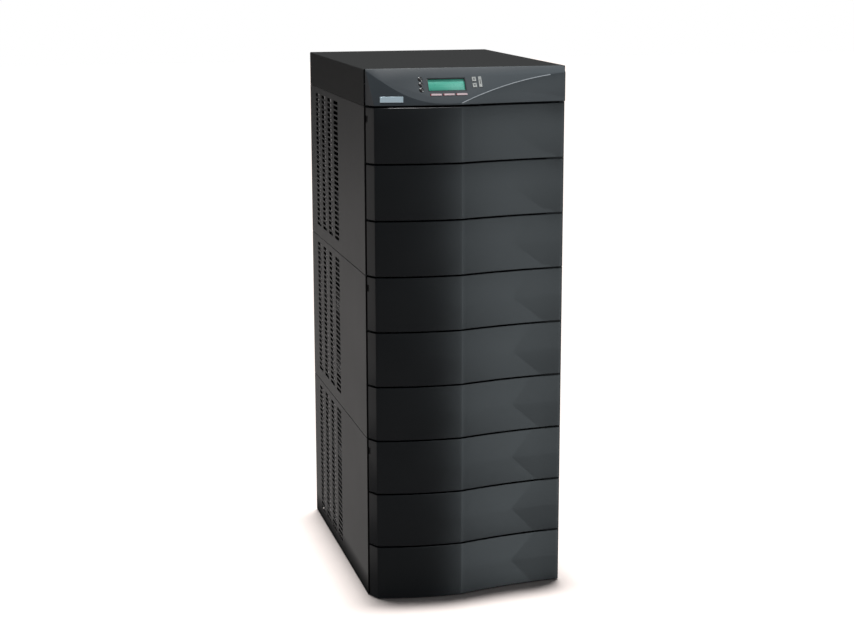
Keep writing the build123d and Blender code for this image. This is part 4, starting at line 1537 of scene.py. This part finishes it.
# ------------------------------------------------------------------ batteries
@dataclass
class BatteryString:
    """Fifteen battery blocks in one drawer, with their posts and links."""

    section: str
    number: int
    width: float = 0.077
    length: float = 0.181
    height: float = 0.146
    pitch: tuple[float, float] = (0.081, 0.187)
    across: int = 5
    deep: int = 3
    groove: tuple[float, float] = (0.020, 0.018)
    groove_depth: float = 0.0015
    lid_step: tuple[float, float] = (0.006, -0.002)
    edge: float = 0.0015
    post_y: float = 0.075
    post: tuple[float, float] = (0.0068, 0.0064)
    post_lift: float = 0.0012
    cap_pitch: float = 0.030
    cap: tuple[float, float] = (0.0085, 0.0026)
    cap_drop: float = 0.0014
    link_lift: float = 0.0010
    link_half: tuple[float, float] = (0.0465, 0.005)
    link_height: float = 0.0020

    def block(self, origin: Point) -> Piece:
        """Models one battery block standing on a point.

        Args:
            origin: The middle of its underside.

        Returns:
            The block, with its lid, posts and vent caps.
        """
        x, y, z = origin
        w, d, top = self.width / 2, self.length / 2, z + self.height
        case = Bench.box("case", (x - w, y - d, z), (x + w, y + d, top))
        groove = top - sum(self.groove) / 2
        with Bench.editing(case, "FACE"):
            for drop in self.groove:
                Bench.slice((x, y, top - drop), UP)
            bpy.ops.mesh.select_all(action="DESELECT")
            Bench.pick_faces(case, lambda c, n: abs(n.z) < 0.1 and abs(c.z - groove) < MM)
            bpy.ops.transform.shrink_fatten(value=-self.groove_depth)
            Bench.pick_faces(case, lambda c, n: n.z > 0.9 and c.z > top - NUDGE)
            Bench.step_in(UP, self.lid_step)
        parts = [paint(Bench.ease(case, self.edge), Finish.CELL)]
        for side, finish in ((-1, Finish.RED), (1, Finish.BLACK_LEAD)):
            place = (x, y + side * self.post_y, top + self.post_lift)
            post = Bench.rod("post", place, *self.post, LEVEL, 12)
            parts.append(paint(Bench.ease(post, 0.8 * MM), finish))
        for step in (-1, 0, 1):
            place = (x, y + step * self.cap_pitch, top - self.cap_drop)
            cap = Bench.rod("cap", place, *self.cap, LEVEL, 12)
            parts.append(paint(Bench.ease(cap, 0.6 * MM, 1), Finish.CELL_LID))
        return Bench.join("block", parts)

    def link(self, x: float, y: float, z: float) -> Piece:
        """Models a link between the posts of two blocks.

        Args:
            x: Its middle, across the drawer.
            y: Its middle, along the drawer.
            z: Its underside.

        Returns:
            The link.
        """
        half_x, half_y = self.link_half
        low = (x - half_x, y - half_y, z)
        link = Bench.box("link", low, (x + half_x, y + half_y, z + self.link_height))
        return paint(Bench.ease(link, 0.6 * MM, 1), Finish.BLACK_LEAD)

    def build(self) -> None:
        """Models one block, copies it through the drawer, and links the posts."""
        node = f"{self.section}_battery_string_{self.number}"
        low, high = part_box(node)
        mid_x, mid_y = (low[0] + high[0]) / 2, (low[1] + high[1]) / 2
        first = (
            mid_x - (self.across - 1) / 2 * self.pitch[0],
            mid_y - (self.deep - 1) / 2 * self.pitch[1],
            low[2],
        )
        master = self.block(first)
        pieces = [master]
        top = low[2] + self.height + self.link_lift
        for row in range(self.deep):
            for column in range(self.across):
                offset = (column * self.pitch[0], row * self.pitch[1], 0.0)
                if row or column:
                    pieces.append(Bench.copy(master, "block", offset))
                if column:
                    x = first[0] + offset[0] - self.pitch[0] / 2
                    side = self.post_y if column % 2 else -self.post_y
                    pieces.append(self.link(x, first[1] + offset[1] + side, top))
        string = Bench.join(f"{self.section}_batteries_{self.number}", pieces)
        Bench.smooth(string)
        install(string, f"{self.section}_drawer_{self.number}", "battery_case", node)


# ------------------------------------------------------------------ carried-over nodes
@dataclass
class CarriedNodes:
    """The CAD nodes that stay in view, each with its finish."""

    finishes: dict[str, Finish] = field(
        default_factory=lambda: {
            "top_cover": Finish.CAP,
            "panel_screws": Finish.SCREW,
            "control_board": Finish.BOARD,
            "power_board": Finish.BOARD,
            "badge_plate": Finish.BADGE,
            "capacitor_bank": Finish.SLEEVE,
            "heat_sinks": Finish.SINK,
            "fan_frames": Finish.FAN,
            "left_fan_rotor": Finish.FAN,
            "right_fan_rotor": Finish.FAN,
            "breaker_case": Finish.BREAKER,
            "breaker_lever": Finish.LEVER,
        }
    )
    endings: tuple[tuple[str, Finish], ...] = (
        ("_section_frame", Finish.ZINC),
        ("_left_panel", Finish.SIDE),
        ("_right_panel", Finish.SIDE),
        ("_rear_panel", Finish.REAR),
        ("_cover_frame", Finish.CARRIER),
        ("_cover_latch", Finish.CARRIER),
        ("_tray_1", Finish.TRAY),
        ("_tray_2", Finish.TRAY),
        ("_foot", Finish.FOOT),
    )

    def dress(self) -> None:
        """Gives each carried-over node its material."""
        for name, node in frame["nodes"].items():
            finish = self.finishes.get(name)
            for ending, other in self.endings:
                if finish is None and name.endswith(ending):
                    finish = other
            if finish is None:
                continue
            for slot in node.material_slots:
                slot.material = stock(finish)
            LOG.info("%s keeps its shape and takes %s", name, finish.name)


# ------------------------------------------------------------------ studio
@dataclass(frozen=True)
class Softbox:
    """A soft rectangular light.

    Attributes:
        name: Its name.
        place: Where it stands.
        aim: The point that it faces.
        size: Its width and height.
        power: Its power in watts.
        tint: Its colour.
    """

    name: str
    place: Point
    aim: Point
    size: tuple[float, float]
    power: float
    tint: Colour = COOL


@dataclass(frozen=True)
class Sky:
    """An even light from high above.

    Attributes:
        name: Its name.
        fall: The way that its light falls.
        strength: Its strength in watts per square metre.
        spread: How wide it looks from below, in degrees.
    """

    name: str
    fall: Point
    strength: float = 2.0
    spread: float = 4.0


@dataclass
class Studio:
    """Floor, lights and camera."""

    camera_place: Point = (-1.08748, -4.33747, 1.56179)
    yaw: float = 0.242498
    pitch: float = 0.209101
    roll: float = -0.001967
    lens: float = 74.09
    sensor: float = 36.0
    floor_size: float = 40.0
    dim: tuple[float, ...] = (0.075, 0.077, 0.08, 1.0)
    pale: tuple[float, ...] = (1.0, 1.0, 1.0, 1.0)
    skies: tuple[Sky, ...] = (
        Sky("sky_left", (-0.034, -0.062, -1.0)),
        Sky("sky_right", (0.01, -0.05, -1.0)),
    )
    boxes: tuple[Softbox, ...] = (
        Softbox("right_softbox", (2.1, -3.4, -0.3), (0.1, -0.3, 0.25), (1.8, 4.2), 72.0),
        Softbox("overhead_softbox", (1.5, -1.5, 3.3), (0.1, -0.2, 0.9), (2.0, 1.4), 24.0),
        Softbox("rear_fill", (1.0, 4.0, 0.45), (0.0, 0.3, 0.6), (2.6, 1.4), 60.0),
        Softbox("right_rear_fill", (4.0, 1.6, 0.6), (0.2, 0.0, 0.6), (1.8, 1.1), 40.0),
        Softbox("left_fill", (-3.2, 1.0, 0.5), (-0.2, -0.3, 0.5), (1.4, 2.8), 8.5, WARM),
        Softbox("low_left_fill", (-1.8, 3.4, -0.55), (-0.2, 0.1, 0.5), (2.8, 2.2), 9.8, WARM),
    )
    not_floor: bpy.types.Collection = field(
        default_factory=lambda: bpy.data.collections.new("not_floor")
    )

    def build_floor(self) -> None:
        """Lays a wide pale floor."""
        Bench.clear()
        bpy.ops.mesh.primitive_plane_add(size=self.floor_size, location=LEVEL)
        floor = bpy.context.active_object
        floor.name = "floor"
        floor.data.materials.append(stock(Finish.FLOOR))
        floor.visible_glossy = False
        self.not_floor.objects.link(floor)
        self.not_floor.collection_objects[0].light_linking.link_state = "EXCLUDE"

    def add_light(self, name: str, kind: str, fall: Vector) -> bpy.types.Object:
        """Adds a light.

        Args:
            name: Its name.
            kind: SUN or AREA.
            fall: The way that its light falls.

        Returns:
            The light.
        """
        light = bpy.data.objects.new(name, bpy.data.lights.new(name, kind))
        bpy.context.collection.objects.link(light)
        light.rotation_euler = fall.to_track_quat("-Z", "Y").to_euler()
        return light

    def build_lights(self) -> None:
        """Adds the light from above, and the softboxes, which leave the floor as it is."""
        for sky in self.skies:
            light = self.add_light(sky.name, "SUN", Vector(sky.fall))
            light.data.energy = sky.strength
            light.data.angle = math.radians(sky.spread)
        for box in self.boxes:
            light = self.add_light(box.name, "AREA", Vector(box.aim) - Vector(box.place))
            light.location = box.place
            light.data.color = box.tint
            light.data.shape = "RECTANGLE"
            light.data.size, light.data.size_y = box.size
            light.data.energy = box.power
            light.visible_camera = False
            light.light_linking.receiver_collection = self.not_floor

    def build_world(self) -> None:
        """Makes the surroundings pale to the eye and dim as a light."""
        world = bpy.data.worlds.new("studio")
        bpy.context.scene.world = world
        world.use_nodes = True
        nodes, links = world.node_tree.nodes, world.node_tree.links
        nodes.clear()
        rays = nodes.new("ShaderNodeLightPath")
        pale, dim = nodes.new("ShaderNodeBackground"), nodes.new("ShaderNodeBackground")
        pale.inputs["Color"].default_value = self.pale
        dim.inputs["Color"].default_value = self.dim
        either, output = nodes.new("ShaderNodeMixShader"), nodes.new("ShaderNodeOutputWorld")
        links.new(rays.outputs["Is Camera Ray"], either.inputs[0])
        links.new(dim.outputs[0], either.inputs[1])
        links.new(pale.outputs[0], either.inputs[2])
        links.new(either.outputs[0], output.inputs["Surface"])

    def build_camera(self) -> None:
        """Sets the camera at the studio's viewing angle."""
        data = bpy.data.cameras.new("camera")
        data.lens = self.lens
        data.sensor_width = self.sensor
        camera = bpy.data.objects.new("camera", data)
        bpy.context.collection.objects.link(camera)
        camera.location = self.camera_place
        sy, cy = math.sin(self.yaw), math.cos(self.yaw)
        sp, cp = math.sin(self.pitch), math.cos(self.pitch)
        forward = Vector((sy * cp, cy * cp, -sp))
        right = Vector((cy, -sy, 0.0))
        up = right.cross(forward)
        sr, cr = math.sin(self.roll), math.cos(self.roll)
        across = cr * right + sr * up
        above = cr * up - sr * right
        turn = camera.matrix_world.to_3x3()
        for row in range(3):
            turn[row][0], turn[row][1], turn[row][2] = across[row], above[row], -forward[row]
        camera.rotation_euler = turn.to_euler()
        bpy.context.scene.camera = camera

    def build(self) -> None:
        """Builds the whole studio."""
        self.build_floor()
        self.build_world()
        self.build_camera()
        self.build_lights()
        bpy.context.scene.view_settings.view_transform = "Standard"


def main() -> None:
    """Builds the cabinet's looks and the studio, in order."""
    logging.basicConfig(level=logging.INFO, format="%(name)s: %(message)s")
    CarriedNodes().dress()
    FrontCovers().build()
    Filters().build()
    ControlHead().build()
    Keypad().build()
    for section in SECTIONS[:2]:
        for number in (1, 2):
            BatteryString(section, number).build()
    Studio().build()


if __name__ == "__main__":
    main()
